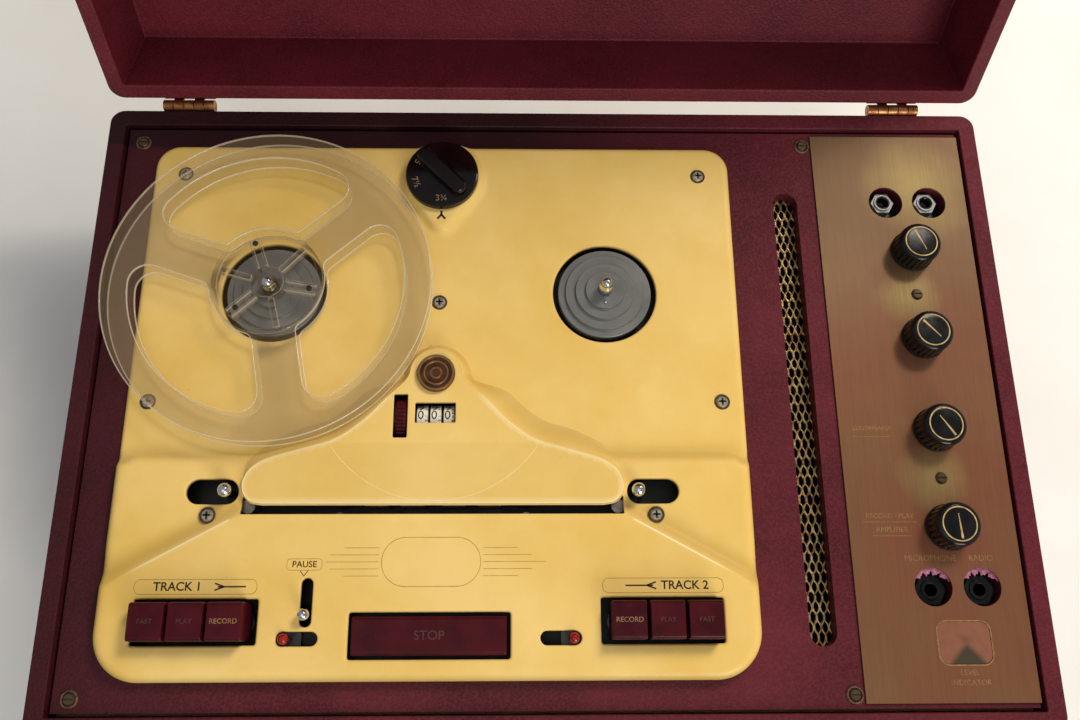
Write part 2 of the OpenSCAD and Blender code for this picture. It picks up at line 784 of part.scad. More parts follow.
module reel_lower_flange() {
    color("#d9d2c8", 0.5) at_deck() translate([-spindle_half, 0, seat_rise]) {
        linear_extrude(flange_t) flange_outline();
        linear_extrude(reel_t - flange_t) difference() {
            circle(hub_r, $fn = 96);
            circle(hub_r - 3, $fn = 96);
        }
        linear_extrude(reel_t - flange_t) difference() {
            union() {
                circle(spindle_r + 5);
                for (a = spoke_angles) rotate(a - 60) translate([0, -1]) square([hub_r - 1, 2]);
            }
            circle(reel_bore_r);
        }
    }
}

module reel_upper_flange() {
    color("#d9d2c8", 0.5) at_deck() translate([-spindle_half, 0, seat_rise + reel_t - flange_t])
        linear_extrude(flange_t) flange_outline();
}

// Pins and sliders that stand up through the deck

module tape_arm(s) {
    reach = tape_arm_pivot_at[1] - guide_pin_at[1];
    color(chrome) at_deck() translate([s*guide_pin_at[0], guide_pin_at[1], 0]) {
        translate([0, reach/2, 0]) slab(plate_top + seat + arm_t, plate_top + seat) difference() {
            stadium(arm_w, reach + arm_w);
            translate([0, reach/2]) circle(stud_r + run);
        }
        hole(guide_pin_r, pin_rise - guide_ball_r, plate_top + seat);
        translate([0, 0, pin_rise - guide_ball_r]) sphere(guide_ball_r);
    }
}

module left_tape_arm() {
    tape_arm(-1);
}

module right_tape_arm() {
    tape_arm(1);
}

module pause_lever() {
    color(chrome) at_deck() translate([pause_at[0], pause_pin_y, 0]) {
        slab(plate_top + seat + slide_t, plate_top + seat) square(pause_plate, center = true);
        hole(pause_pin_r, pin_rise - pause_ball_r, plate_top + seat);
        translate([0, 0, pin_rise - pause_ball_r]) sphere(pause_ball_r);
    }
}

module record_slider(s) {
    color("#b01c1c") at_deck() translate([s*record_pin_x, record_slot_at[1], 0]) {
        slab(plate_top + seat + slide_t, plate_top + seat) square(record_plate, center = true);
        hole(record_pin_r, keyboard_rise, plate_top + seat);
        translate([0, 0, keyboard_rise]) sphere(record_bead_r);
    }
}

module left_record_slider() {
    record_slider(-1);
}

module right_record_slider() {
    record_slider(1);
}

// Keys: a cap, square stems through the chassis plate and a foot under it

module key_stem(p) {
    translate(p) {
        slab(key_under + 1, plate_bottom - seat) square(stem_w, center = true);
        slab(plate_bottom - seat, plate_bottom - seat - foot_t) square(foot_w, center = true);
    }
}

module key_cap(w, d, rise) {
    edge = 1.2;
    rotate([90, 0, 90]) translate([0, 0, -w/2]) linear_extrude(w)
        polygon([[-d/2, key_under], [d/2, key_under], [d/2, rise - edge], [d/2 - edge, rise],
            [-d/2 + edge, rise], [-d/2, rise - edge]]);
}

module small_key(i) {
    color(maroon) at_deck() {
        translate(key_stems[i]) key_cap(key_w, key_d, key_rise);
        key_stem(key_stems[i]);
    }
}

module left_fast_key() {
    small_key(0);
}

module left_play_key() {
    small_key(1);
}

module left_record_key() {
    small_key(2);
}

module right_record_key() {
    small_key(3);
}

module right_play_key() {
    small_key(4);
}

module right_fast_key() {
    small_key(5);
}

module stop_key() {
    color(maroon) at_deck() {
        translate(stop_at) key_cap(stop_w, stop_d, stop_rise);
        for (p = stop_stems) key_stem(p);
    }
}

module key_springs() {
    color(steel) at_deck() for (p = concat(key_stems, stop_stems)) translate(p) difference() {
        hole(spring_r, key_under - key_travel - seat, plate_top);
        hole(spring_r - spring_wire, 0, plate_top - 1);
    }
}

// Fixing screws: pan heads on the deck, raised heads in cup washers on the board and panel

module screw(seat_z, tip_z, slots) {
    difference() {
        union() {
            hole(screw_r, seat_z + 0.5, tip_z);
            translate([0, 0, seat_z]) cylinder(r1 = screw_head_r, r2 = screw_head_r - 0.9, h = screw_head_h);
        }
        for (a = [0:90:(slots - 1)*90]) rotate(a) translate([0, 0, seat_z + screw_head_h])
            cube([4.4, 0.8, screw_head_h], center = true);
    }
}

module fixing_screws() {
    color("#77716a") {
        at_deck() {
            for (p = rear_screws) translate(p) screw(0, plate_top + 1, 2);
            for (p = flank_screws) translate(p) screw(flank_rise, plate_top + 1, 2);
        }
        for (p = board_screws) translate(p) screw(board_top, board_bottom - 8, 1);
        for (p = panel_screws) translate(p) screw(panel_top, board_bottom + 2, 1);
    }
}

// Chassis plate with pillars, bearings, studs and the counter's cheeks

module chassis_plate() {
    x = half_w - deck_lap - plate_margin;
    y0 = deck_front + deck_lap + plate_margin;
    y1 = deck_back - deck_lap - plate_margin;
    cut = [[reset_x - reset_slot[0]/2 - seat, 1.5*digit_w + digit_gap + 1], reset_r + 1];
    cheek_t = 1.5;
    color(steel) at_deck() difference() {
        union() {
            slab(plate_top, plate_bottom) translate([0, (y0 + y1)/2])
                rounded(2*x, y1 - y0, front_r - deck_lap - plate_margin);
            for (p = rear_screws) translate(p) hole(pillar_r, -deck_t, plate_top - 1);
            for (p = flank_screws) translate(p) hole(pillar_r, flank_rise - skirt, plate_top - 1);
            translate(nut_at) hole(stud_r + 2, -deck_t, plate_top - 1);
            translate(speed_at) hole(bearing_r, plate_top, plate_bottom - speed_bearing_l);
            for (s = [-1, 1]) {
                translate([s*spindle_half, 0])
                    hole(bearing_r, plate_top, plate_bottom - turntable_bearing_l);
                translate([s*capstan_at[0], capstan_at[1]])
                    hole(bearing_r, plate_top, plate_bottom - capstan_bearing_l);
                translate([s*tape_arm_pivot_at[0], tape_arm_pivot_at[1]])
                    hole(stud_r, plate_top + arm_t + 1, plate_top - 1);
                translate([s*pinch_pivot_at[0], pinch_pivot_at[1]])
                    hole(stud_r, plate_top + arm_t + 1, plate_top - 1);
            }
            translate([0, counter_at[1], 0]) for (cx = [cut[0][0] - cheek_t, cut[0][1]])
                translate([cx, -4, plate_top - 1]) cube([cheek_t, 8, counter_z + 2*axle_r - plate_top + 1]);
            translate([cut[0][0] - cheek_t, counter_at[1], counter_z]) rotate([0, 90, 0])
                cylinder(r = axle_r, h = cut[0][1] - cut[0][0] + 2*cheek_t);
        }
        translate([cut[0][0], counter_at[1] - cut[1], plate_bottom - 1])
            cube([cut[0][1] - cut[0][0], 2*cut[1], plate_t + 2]);
        for (p = concat(rear_screws, flank_screws)) translate(p)
            hole(screw_hole_r, head_rise, plate_bottom - 1);
        translate(nut_at) hole(stud_r + close, 0, plate_top + seat);
        translate(speed_at) hole(knob_shaft_r + run, 0, plate_bottom - speed_bearing_l - 1);
        for (s = [-1, 1]) {
            translate([s*spindle_half, 0]) hole(shaft_r + run, 0, plate_bottom - turntable_bearing_l - 1);
            translate([s*capstan_at[0], capstan_at[1]])
                hole(capstan_r + run, 0, plate_bottom - capstan_bearing_l - 1);
        }
        for (p = concat(key_stems, stop_stems)) translate(p) slab(plate_top + 1, plate_bottom - 1)
            square(stem_pocket, center = true);
    }
}

// Drive: two motors, belts and flywheels, with a pressure roller at each capstan

module motors() {
    color("#5d6166") at_deck() for (s = [-1, 1]) translate([s*motor_at[0], motor_at[1], 0]) difference() {
        union() {
            hole(motor_r, motor_top, motor_top - motor_h);
            for (a = [34, 120, 308]) rotate(s > 0 ? a : 180 - a) translate([motor_r - 5, 0])
                hole(3, plate_bottom, motor_top - 1);
        }
        hole(knob_shaft_r + run, motor_top + 1, motor_top - motor_h + 8);
    }
}

module motor_rotor(s) {
    step = 3;
    color(chrome) at_deck() translate([s*motor_at[0], motor_at[1], 0]) {
        hole(knob_shaft_r, belt_z + belt_h, motor_top - motor_h + 10);
        hole(pulley_r, belt_z + belt_h/2 + 1, belt_z - belt_h/2 - 1);
        hole(pulley_r + step, belt_z - belt_h/2 - 1, belt_z - belt_h/2 - 4);
        hole(pulley_r + 2*step, belt_z - belt_h/2 - 4, motor_top + seat);
    }
}

module left_motor_rotor() {
    motor_rotor(-1);
}

module right_motor_rotor() {
    motor_rotor(1);
}

module flywheel(s) {
    color("#b9a070") at_deck() translate([s*capstan_at[0], capstan_at[1], 0]) {
        hole(flywheel_r, flywheel_top, flywheel_top - flywheel_t);
        hole(capstan_r, keyboard_rise - skirt - 0.6, flywheel_top - flywheel_t - 4);
    }
}

module left_flywheel() {
    flywheel(-1);
}

module right_flywheel() {
    flywheel(1);
}

module belt_loop(grow) {
    hull() {
        translate(capstan_at) circle(flywheel_r + seat + grow);
        translate(motor_at) circle(pulley_r + seat + grow);
    }
}

module drive_belts() {
    color("#2a2624") at_deck() for (s = [0, 1]) mirror([s, 0, 0])
        slab(belt_z + belt_h/2, belt_z - belt_h/2) difference() {
            belt_loop(belt_t);
            belt_loop(0);
        }
}

module pinch_arm(s) {
    d = pinch_at - pinch_pivot_at;
    pin_r = 2;
    arm_top = plate_top + seat + arm_t;
    roller_top = head_rise - head_skin - 1.5;
    at_deck() mirror([s < 0 ? 1 : 0, 0, 0]) {
        color(steel) {
            slab(arm_top, plate_top + seat) translate(pinch_pivot_at) difference() {
                rotate(atan2(d[1], d[0])) translate([norm(d)/2, 0]) stadium(norm(d) + arm_w, arm_w);
                circle(stud_r + run);
            }
            translate(pinch_at) hole(pin_r, roller_top + free, plate_top + seat);
        }
        color("#3a3534") translate(pinch_at) difference() {
            hole(roller_r, roller_top, arm_top + seat);
            hole(pin_r + run, head_rise, arm_top - 1);
        }
    }
}

module left_pinch_arm() {
    pinch_arm(-1);
}

module right_pinch_arm() {
    pinch_arm(1);
}

module tape_heads() {
    head = [12, 14, head_rise - head_skin - 1 - plate_top];
    color("#a9a49a") at_deck() for (s = [-1, 1]) {
        for (x = [0.111, 0.293]*bay_half)
            translate([s*x - head[0]/2, head_front + seat, plate_top]) cube(head);
        translate([s*tape_guide_at[0], tape_guide_at[1]]) hole(tape_guide_r, -0.5, plate_top);
    }
}

// Control panel and amplifier

module brass_panel() {
    color("#94744a") slab(panel_top, board_top) difference() {
        translate([panel_x0, panel_y0]) square([panel_w, panel_y1 - panel_y0]);
        for (x = [-1, 1], y = [upper_jack_y, lower_jack_y]) translate([jack_x + x*jack_half, y])
            circle(jack_hole_r);
        for (y = knob_ys) translate([knob_x, y]) circle(knob_shaft_r + 1);
        translate(window_at) rounded(window[0], window[1], 5);
        for (p = panel_screws) translate(p) circle(screw_hole_r);
    }
}

module control_knob(i) {
    z0 = panel_top + 0.8;
    color(ebonite) translate([knob_x, knob_ys[i], 0]) {
        difference() {
            translate([0, 0, z0]) rotate_extrude()
                polygon([[0, 0], [knob_r, 0], [knob_r, 1.5], [knob_r - 0.6, 2], [knob_r - 0.8, knob_h - 1],
                    [knob_r - 1.8, knob_h], [knob_r - 3, knob_h], [knob_r - 3.2, knob_h - 0.5],
                    [0, knob_h - 0.2]]);
            for (a = [0:15:359]) rotate(a) translate([knob_r, 0, z0 + 2])
                cylinder(r = 0.9, h = knob_h, $fn = 16);
        }
        hole(knob_shaft_r, z0 + 1, chassis_top - sheet - pot_h + 3);
    }
}

module gain_knob() {
    control_knob(0);
}

module tone_knob() {
    control_knob(1);
}

module loudspeaker_knob() {
    control_knob(2);
}

module function_knob() {
    control_knob(3);
}

module potentiometers() {
    under = chassis_top - sheet;
    color("#8a8578") for (y = knob_ys) translate([knob_x, y, 0]) difference() {
        union() {
            hole(pot_r, under, under - pot_h);
            hole(bush_r, chassis_top + 6, under - 1);
        }
        hole(knob_shaft_r + run, chassis_top + 7, under - pot_h + 2);
    }
}

module jack(sides_r, color_name) {
    under = chassis_top - sheet;
    color(color_name) difference() {
        union() {
            hole(jack_r, under, under - jack_l);
            hole(bush_r, chassis_top + jack_nut_t + 1, under - 1);
            translate([0, 0, chassis_top]) cylinder(r = sides_r, h = jack_nut_t, $fn = 6);
        }
        hole(jack_bore_r, chassis_top + jack_nut_t + 2, under - jack_l + 2);
    }
}

module upper_jacks() {
    for (s = [-1, 1]) translate([jack_x + s*jack_half, upper_jack_y + upper_jack_shift, 0]) jack(chrome_nut_r, chrome);
}

module lower_jacks() {
    for (s = [-1, 1]) translate([jack_x + s*jack_half, lower_jack_y + lower_jack_shift, 0]) jack(black_nut_r, ebonite);
}

module level_tube() {
    color("#30402c") translate([window_at[0], window_at[1] - tube_l/2, chassis_top - tube_drop])
        rotate([-90, 0, 0]) cylinder(r = tube_r, h = tube_l);
}

module amplifier_chassis() {
    top_x0 = panel_x0 + 5;
    color(steel) difference() {
        union() {
            translate([top_x0, -amp_y, chassis_top - sheet]) cube([amp_x1 - top_x0, 2*amp_y, sheet]);
            translate([amp_x1 - sheet, -amp_y, tray_z - sheet])
                cube([sheet, 2*amp_y, chassis_top - tray_z + sheet]);
            translate([amp_x0, -amp_y, tray_z - sheet]) cube([amp_x1 - amp_x0, 2*amp_y, sheet]);
        }
        for (y = knob_ys) translate([knob_x, y, 0])
            hole(bush_r + close, chassis_top + 1, chassis_top - sheet - 1);
        for (x = [-1, 1], y = [upper_jack_y + upper_jack_shift, lower_jack_y + lower_jack_shift])
            translate([jack_x + x*jack_half, y, 0])
                hole(bush_r + close, chassis_top + 1, chassis_top - sheet - 1);
        translate([window_at[0], window_at[1], chassis_top])
            cube([2*(tube_r + 0.2), tube_l + 2*seat, 4*sheet], center = true);
    }
}

module valves() {
    color("#c8d0d0", 0.6) for (i = [-3:2:3]) translate([vent_x - 14, i*amp_y/5, tray_z]) rotate_extrude()
        polygon([for (p = [[0, 0], [0.86, 0], [0.86, 0.1], [1, 0.11], [1, 0.77], [0.86, 0.85], [0.48, 0.9],
            [0.19, 0.92], [0.14, 0.98], [0, 1]]) [p[0]*valve_r, p[1]*valve_h]]);
}

// A laminated core with its winding, standing on the tray
module transformer(size) {
    translate([-size[0]/2, -size[1]/2, 0]) cube(size);
    translate([-size[0]/2 + winding_lap, -size[1]/2 - winding_lap, winding_lap])
        cube([size[0] - 2*winding_lap, size[1] + 2*winding_lap, size[2] - 2*winding_lap]);
}

module transformers() {
    x = amp_x1 - mains_transformer[0]/2 - 15;
    color("#4a4640") {
        translate([x, upper_jack_y - 58, tray_z]) transformer(mains_transformer);
        translate([x, lower_jack_y + 42.8, tray_z]) transformer(output_transformer);
    }
}

module loudspeaker() {
    color("#3c3a38") translate([speaker_at[0], -in_y, speaker_at[1]]) rotate([-90, 0, 0]) rotate_extrude()
        polygon([[0, 20], [14, 20], [speaker_r - 8, 2], [speaker_r - 8, 0], [speaker_r, 0], [speaker_r, 3],
            [speaker_r - 6, 4], [24, 30], [27, 30], [27, 46], [0, 46]]);
}

case_base();
board_battens();
mounting_board();
vent_mesh();
lid_shell();
hinge_case_leaves();
hinge_lid_leaves();
hinge_pins();
front_fittings();
catch_lever();
catch_keeper();
carrying_handle();
deck_cover();
head_cover();
medallion_nut();
speed_knob();
counter_wheels();
reset_wheel();
left_turntable();
right_turntable();
reel_lower_flange();
reel_upper_flange();
left_tape_arm();
right_tape_arm();
pause_lever();
left_record_slider();
right_record_slider();
left_fast_key();
left_play_key();
left_record_key();
stop_key();
right_record_key();
right_play_key();
right_fast_key();
key_springs();
fixing_screws();
chassis_plate();
motors();
left_motor_rotor();
right_motor_rotor();
left_flywheel();
right_flywheel();
drive_belts();
left_pinch_arm();
right_pinch_arm();
tape_heads();
brass_panel();
gain_knob();
tone_knob();
loudspeaker_knob();
function_knob();
potentiometers();
upper_jacks();
lower_jacks();
level_tube();
amplifier_chassis();
valves();
transformers();
loudspeaker();
mains_inlet();
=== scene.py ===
# A portable valve tape recorder of the 1950s with its lid open: a covered wooden case, a moulded cream deck
# with one clear reel, and a brass control panel. Shapes are worked out in millimetres, in the part's frame.
import json
import math

import bmesh
import bpy
import numpy as np
from mathutils import Matrix, Vector, geometry

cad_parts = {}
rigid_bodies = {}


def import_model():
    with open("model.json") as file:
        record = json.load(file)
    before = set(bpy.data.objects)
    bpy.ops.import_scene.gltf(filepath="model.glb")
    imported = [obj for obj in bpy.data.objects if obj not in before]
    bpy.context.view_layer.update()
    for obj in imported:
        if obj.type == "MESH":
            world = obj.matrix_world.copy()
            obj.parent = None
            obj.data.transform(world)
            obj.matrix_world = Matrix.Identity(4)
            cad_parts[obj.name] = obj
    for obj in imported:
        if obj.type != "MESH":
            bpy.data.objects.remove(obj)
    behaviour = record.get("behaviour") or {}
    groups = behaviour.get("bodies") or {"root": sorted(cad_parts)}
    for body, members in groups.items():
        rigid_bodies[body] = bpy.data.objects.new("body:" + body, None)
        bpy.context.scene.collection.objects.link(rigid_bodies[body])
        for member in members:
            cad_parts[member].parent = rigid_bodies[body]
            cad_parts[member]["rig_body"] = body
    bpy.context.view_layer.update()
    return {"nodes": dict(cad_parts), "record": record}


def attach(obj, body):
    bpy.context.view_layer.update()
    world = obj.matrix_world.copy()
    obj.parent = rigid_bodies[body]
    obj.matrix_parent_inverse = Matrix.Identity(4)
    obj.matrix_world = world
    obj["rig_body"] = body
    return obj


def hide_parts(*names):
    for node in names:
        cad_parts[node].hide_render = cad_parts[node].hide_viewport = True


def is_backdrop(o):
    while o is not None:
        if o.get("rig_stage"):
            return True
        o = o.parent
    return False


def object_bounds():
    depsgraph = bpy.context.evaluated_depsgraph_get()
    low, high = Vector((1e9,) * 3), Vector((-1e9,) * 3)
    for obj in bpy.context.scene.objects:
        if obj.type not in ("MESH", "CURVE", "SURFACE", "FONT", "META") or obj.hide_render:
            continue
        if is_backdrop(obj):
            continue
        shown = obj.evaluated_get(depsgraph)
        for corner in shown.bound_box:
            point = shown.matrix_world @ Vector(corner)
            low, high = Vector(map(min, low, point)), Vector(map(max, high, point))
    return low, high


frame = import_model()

nodes = frame["nodes"]
slots = {part["node"]: part["material_slot"] for part in frame["record"]["subparts"]}

# ---- Case ----
# The lower half is a plywood box, glued and pinned, and covered all over its outside and rim with maroon
# leathercloth. The covering is pasted on and turned over every edge, so none of them is sharp.


def linear(code):
    """Linear RGBA of an sRGB hex colour: a channel v becomes ((v + 0.055)/1.055)^2.4, or v/12.92 where dark."""
    v = np.array([int(code[i:i + 2], 16) for i in (1, 3, 5)])/255
    return (*np.where(v > 0.04045, ((v + 0.055)/1.055)**2.4, v/12.92), 1.0)


class Skin:
    """A procedural material under way: a Principled shader whose sockets take plain values, and nodes that are placed
    by the object's own coordinates."""

    def __init__(self, name, **sockets):
        self.made = bpy.data.materials.new(name)
        self.made.use_nodes = True
        self.tree = self.made.node_tree
        self.shader = self.tree.nodes["Principled BSDF"]
        for key, value in sockets.items():
            self.shader.inputs[key.replace("_", " ")].default_value = value
        self.where = self.node("TexCoord", "Object", {})

    def node(self, kind, output, sockets, **settings):
        """Adds a node and returns one of its outputs: settings are its properties, and sockets its inputs, each a plain
        value, a hex colour or an output to link."""
        made = self.tree.nodes.new("ShaderNode" + kind)
        for name, value in settings.items():
            setattr(made, name, value)
        for key, value in sockets.items():
            if isinstance(value, bpy.types.NodeSocket):
                self.tree.links.new(value, made.inputs[key])
            else:
                made.inputs[key].default_value = linear(value) if isinstance(value, str) else value
        return made.outputs[output]

    def noise(self, size, detail, rough=0.5):
        """Noise from 0 to 1, with features of a size in millimetres."""
        return self.node("TexNoise", "Fac", {"Vector": self.where, "Scale": 1000/size, "Detail": detail,
                                             "Roughness": rough})

    def spread(self, value, low=0.0, high=1.0, start=0.0, end=1.0):
        """Carries a value's range from low to high over to the range from start to end."""
        return self.node("MapRange", "Result", {"Value": value, "From Min": low, "From Max": high, "To Min": start,
                                                "To Max": end})

    def mix(self, amount, first, second):
        """Two colours mixed: the first at amount 0, the second at 1."""
        return self.node("Mix", 2, {0: amount, 6: first, 7: second}, data_type="RGBA")

    def work(self, operation, *values):
        """One step of arithmetic."""
        return self.node("Math", 0, dict(enumerate(values)), operation=operation)

    def mark(self, name):
        """What a piece's own attribute says, from 0 to 1."""
        return self.node("Attribute", "Fac", {}, attribute_name=name)

    def bump(self, height, strength, depth):
        """A relief with a depth in millimetres."""
        return self.node("Bump", "Normal", {"Height": height, "Strength": strength, "Distance": depth/1000})

    def wired(self, **outputs):
        """Links outputs to the shader's sockets, and returns the material."""
        for socket, output in outputs.items():
            self.tree.links.new(output, self.shader.inputs[socket.replace("_", " ")])
        return self.made


def declare(thing, skin, body, slot, *stands_for):
    """Gives an object its material and body, and hides the CAD nodes that it stands for; the slot is not used."""
    thing.data.materials.append(skin)
    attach(thing, body)
    if stands_for:
        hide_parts(*stands_for)
    return thing


def points_of(mesh):
    """The points of a mesh, one to a row."""
    points = np.empty(3*len(mesh.vertices))
    mesh.vertices.foreach_get("co", points)
    return points.reshape(-1, 3)


def linked(name, data):
    """A new object of some data, in the scene."""
    thing = bpy.data.objects.new(name, data)
    bpy.context.scene.collection.objects.link(thing)
    return thing


def bevelled(thing, width, sharp=30, steps=2):
    """Rounds the edges of a piece that are sharper than an angle in degrees; the width is in millimetres."""
    edge = thing.modifiers.new("rounded edges", "BEVEL")
    edge.width, edge.segments, edge.angle_limit, edge.harden_normals = width/1000, steps, math.radians(sharp), True
    return thing


def eased(name, width, skin, sharp=35, steps=3):
    """One CAD solid with its edges eased: its triangles are merged, flat neighbours become one face, and a round of
    this width in millimetres runs along every edge that is sharper than the angle in degrees."""
    source = nodes[name].data
    corners = np.empty(len(source.loops), int)
    source.loops.foreach_get("vertex_index", corners)
    mesh = bpy.data.meshes.new(name + "_eased")
    mesh.from_pydata(points_of(source).tolist(), [], corners.reshape(-1, 3).tolist())
    work = bmesh.new()
    work.from_mesh(mesh)
    bmesh.ops.remove_doubles(work, verts=work.verts[:], dist=2e-6)
    bmesh.ops.dissolve_limit(work, angle_limit=math.radians(0.5), verts=work.verts[:], edges=work.edges[:])
    work.to_mesh(mesh)
    work.free()
    mesh.polygons.foreach_set("use_smooth", np.ones(len(mesh.polygons), bool))
    thing = bevelled(linked(name + "_eased", mesh), width, sharp, steps)
    return declare(thing, skin, nodes[name]["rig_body"], slots[name], name)


def covering(name, deep, rubbed, valley, shade_amount):
    """Lacquered cotton with an embossed hide grain: a low, broken gloss over pebbles of about 1.3 mm, its deep colour
    rubbed lighter in patches and paler between the pebbles. A painted shade darkens the rim and board at the left end,
    and more along the back, for the light falling off to the left and the lid's shadow behind."""
    skin = Skin(name, Specular_IOR_Level=0.25)
    pebbles = skin.node("TexVoronoi", "Distance", {"Vector": skin.where, "Scale": 1000/1.3})
    creases = skin.noise(3.5, 4.0)
    tone = skin.mix(skin.spread(skin.noise(70, 5.0, 0.65), 0.36, 0.66), deep, rubbed)
    tone = skin.mix(skin.spread(pebbles, 0.2, 0.75, end=0.35), tone, valley)
    x, y, z = [skin.node("SeparateXYZ", axis, {"Vector": skin.where}) for axis in "XYZ"]
    # Painted shade: near black at the left end and along the back, on the rim and board only.
    behind = skin.work("MULTIPLY", skin.spread(x, -0.01, 0.12, 0.85, 0.0), skin.spread(y, 0.144, 0.152, end=shade_amount))
    painted_shade = skin.work("MAXIMUM", skin.spread(x, -0.245, -0.16, 0.6, 0.0), behind)
    painted_shade = skin.work("MULTIPLY", painted_shade, skin.spread(z, 0.14, 0.156, end=shade_amount))
    return skin.wired(Base_Color=skin.mix(painted_shade, tone, "#180808"),
                      Roughness=skin.spread(creases, 0.3, 0.7, 0.42, 0.6),
                      Normal=skin.bump(skin.work("ADD", pebbles, creases), 0.5, 0.3))


# Leathercloth on the case: rubbed with use, with painted shade at the left end and along the back.
leathercloth = covering("leathercloth", "#400E15", "#5A1C25", "#6E2E38", 1.0)
eased("case_base", 1.6, leathercloth)

# ---- Lid ----
# The lid is a shallow plywood box with the same covering inside and out. It stands open against its hinges.
# The same leathercloth, less worn, in brighter tones that are painted light for the front light on the lid's inside.
eased("lid_shell", 1.6, covering("lit_lid_leathercloth", "#501019", "#681B26", "#7C333F", 0.0))

# ---- Hinges, catch and handle fittings ----
# Pressed steel with copper plate that has worn and dulled. Each hinge is two leaves rolled into knuckles round a
# pin, and is pinned to the back of the case and of the lid; the catch and handle brackets are on the front.


def finish(name, light, dark, patch, grit, relief, rough, worn=None, **sockets):
    """A material of two tones: noise in patches of a real size mixes the tones and moves the roughness between its two
    values, and a finer noise gives the relief. Patch, grit and relief are in millimetres. A worn colour shows where the
    piece's own attribute "worn" says so."""
    skin = Skin(name, **sockets)
    patches = skin.spread(skin.noise(patch, 4.0), 0.34, 0.66)
    tone = skin.mix(patches, dark, light)
    if worn:
        tone = skin.mix(skin.mark("worn"), tone, worn)
    return skin.wired(Base_Color=tone, Roughness=skin.spread(patches, start=rough[0], end=rough[1]),
                      Normal=skin.bump(skin.noise(grit, 2.0), 0.4, relief))


# Copper plate: warm metal, brown where it has tarnished and bright where it is handled.
copper_plate = finish("copper_plate", "#C58A58", "#7A4A30", 6, 0.7, 0.05, (0.5, 0.28), Metallic=1.0)
for name in ("hinge_case_leaves", "hinge_lid_leaves", "hinge_pins", "front_fittings", "catch_lever", "catch_keeper"):
    eased(name, 0.35, copper_plate, steps=2)

# ---- Carrying handle ----
# A moulded maroon grip on two arms, which swings on pins in the front brackets. It hangs flat against the case.


def grid(points, round_rows=False, round_columns=False):
    """Quads between neighbours in a grid of points (rows, columns, 3); a round direction closes on itself."""
    number = np.arange(points.shape[0]*points.shape[1]).reshape(points.shape[:2])
    number = np.vstack([number, number[:1]]) if round_rows else number
    number = np.hstack([number, number[:, :1]]) if round_columns else number
    quads = np.stack([number[:-1, :-1], number[:-1, 1:], number[1:, 1:], number[1:, :-1]], -1)
    return points.reshape(-1, 3), quads.reshape(-1, 4).tolist()


def joined(*shapes):
    """Several shapes as one: their points in a row, with the face numbers moved on."""
    starts = np.cumsum([0] + [len(points) for points, faces in shapes[:-1]])
    return (np.concatenate([points for points, faces in shapes]),
            [[i + start for i in face] for (points, faces), start in zip(shapes, starts.tolist()) for face in faces])


def piece(name, shape, skin, body, slot, *stands_for, upward=False):
    """One object of a shape in millimetres: doubles are merged, and its faces turned outwards, or upwards on a
    sheet."""
    points, faces = shape
    mesh = bpy.data.meshes.new(name)
    mesh.from_pydata((points/1000).tolist(), [], faces)
    work = bmesh.new()
    work.from_mesh(mesh)
    bmesh.ops.remove_doubles(work, verts=work.verts[:], dist=1e-6)
    bmesh.ops.recalc_face_normals(work, faces=work.faces[:])
    if upward and sum(face.normal.z*face.calc_area() for face in work.faces) < 0:
        bmesh.ops.reverse_faces(work, faces=work.faces[:])
    work.to_mesh(mesh)
    work.free()
    mesh.polygons.foreach_set("use_smooth", np.ones(len(mesh.polygons), bool))
    return declare(linked(name, mesh), skin, body, slot, *stands_for)


def arc(centre, radius, start, end, count):
    """Points of a circle about a centre, between two angles in degrees."""
    a = np.radians(np.linspace(start, end, count))
    return np.asarray(centre) + radius*np.stack([np.cos(a), np.sin(a)], 1)


def bar(path, radius, across, sides=20):
    """A round bar: at each point of a path a ring stands square to it, in the plane of `across` and of their cross
    product, with the radius there. Both ends close to a point."""
    along = np.gradient(path, axis=0)
    along /= np.linalg.norm(along, axis=1, keepdims=True)
    across = np.broadcast_to(across, path.shape)
    third = np.cross(along, across)
    a = np.linspace(0, 2*np.pi, sides, endpoint=False)[:, None]
    radius = np.broadcast_to(radius, len(path))[:, None, None]
    rings = path[:, None] + radius*(np.cos(a)*across[:, None] + np.sin(a)*third[:, None])
    ends = [np.repeat(path[i][None, None], sides, 1) for i in (0, -1)]
    return grid(np.concatenate([ends[0], rings, ends[1]]), round_columns=True)


handle_y, handle_z = -182.5, 100.0
plan = np.concatenate([[[-56, handle_z + 5]], arc((-42, handle_z - 22), 14, 180, 270, 10),
                       [[x, handle_z - 36] for x in np.linspace(-36, 36, 19)],
                       arc((42, handle_z - 22), 14, 270, 360, 10), [[56, handle_z + 5]]])
path = np.stack([plan[:, 0], np.full(len(plan), handle_y), plan[:, 1]], 1)
swell = 5 + 3*np.clip(1.5*(1 - np.abs(plan[:, 0])/52), 0, 1)**0.5*(plan[:, 1] < handle_z - 30)
pins = [bar(np.array([[side*52, handle_y, handle_z], [side*74, handle_y, handle_z]]), 3, (0, 1, 0))
        for side in (-1, 1)]
# Compression moulding: an even, slightly waxy gloss.
handle_moulding = finish("maroon_handle_moulding", "#56192B", "#3F1020", 25, 1.5, 0.04, (0.3, 0.42))
piece("handle_grip", joined(bar(path, swell, (0, 1, 0)), *pins), handle_moulding, "handle", "handle_plastic",
      "carrying_handle")

# ---- Battens and mounting board ----
# Softwood battens are screwed inside the walls. The board is plywood under leathercloth, with openings for the deck,
# the vent and the controls, and a dark gap all round it.
planed_wood = finish("planed_softwood", "#B89263", "#9A7348", 8, 0.8, 0.1, (0.55, 0.7))
eased("board_battens", 0.6, planed_wood)
eased("mounting_board", 2.0, leathercloth)

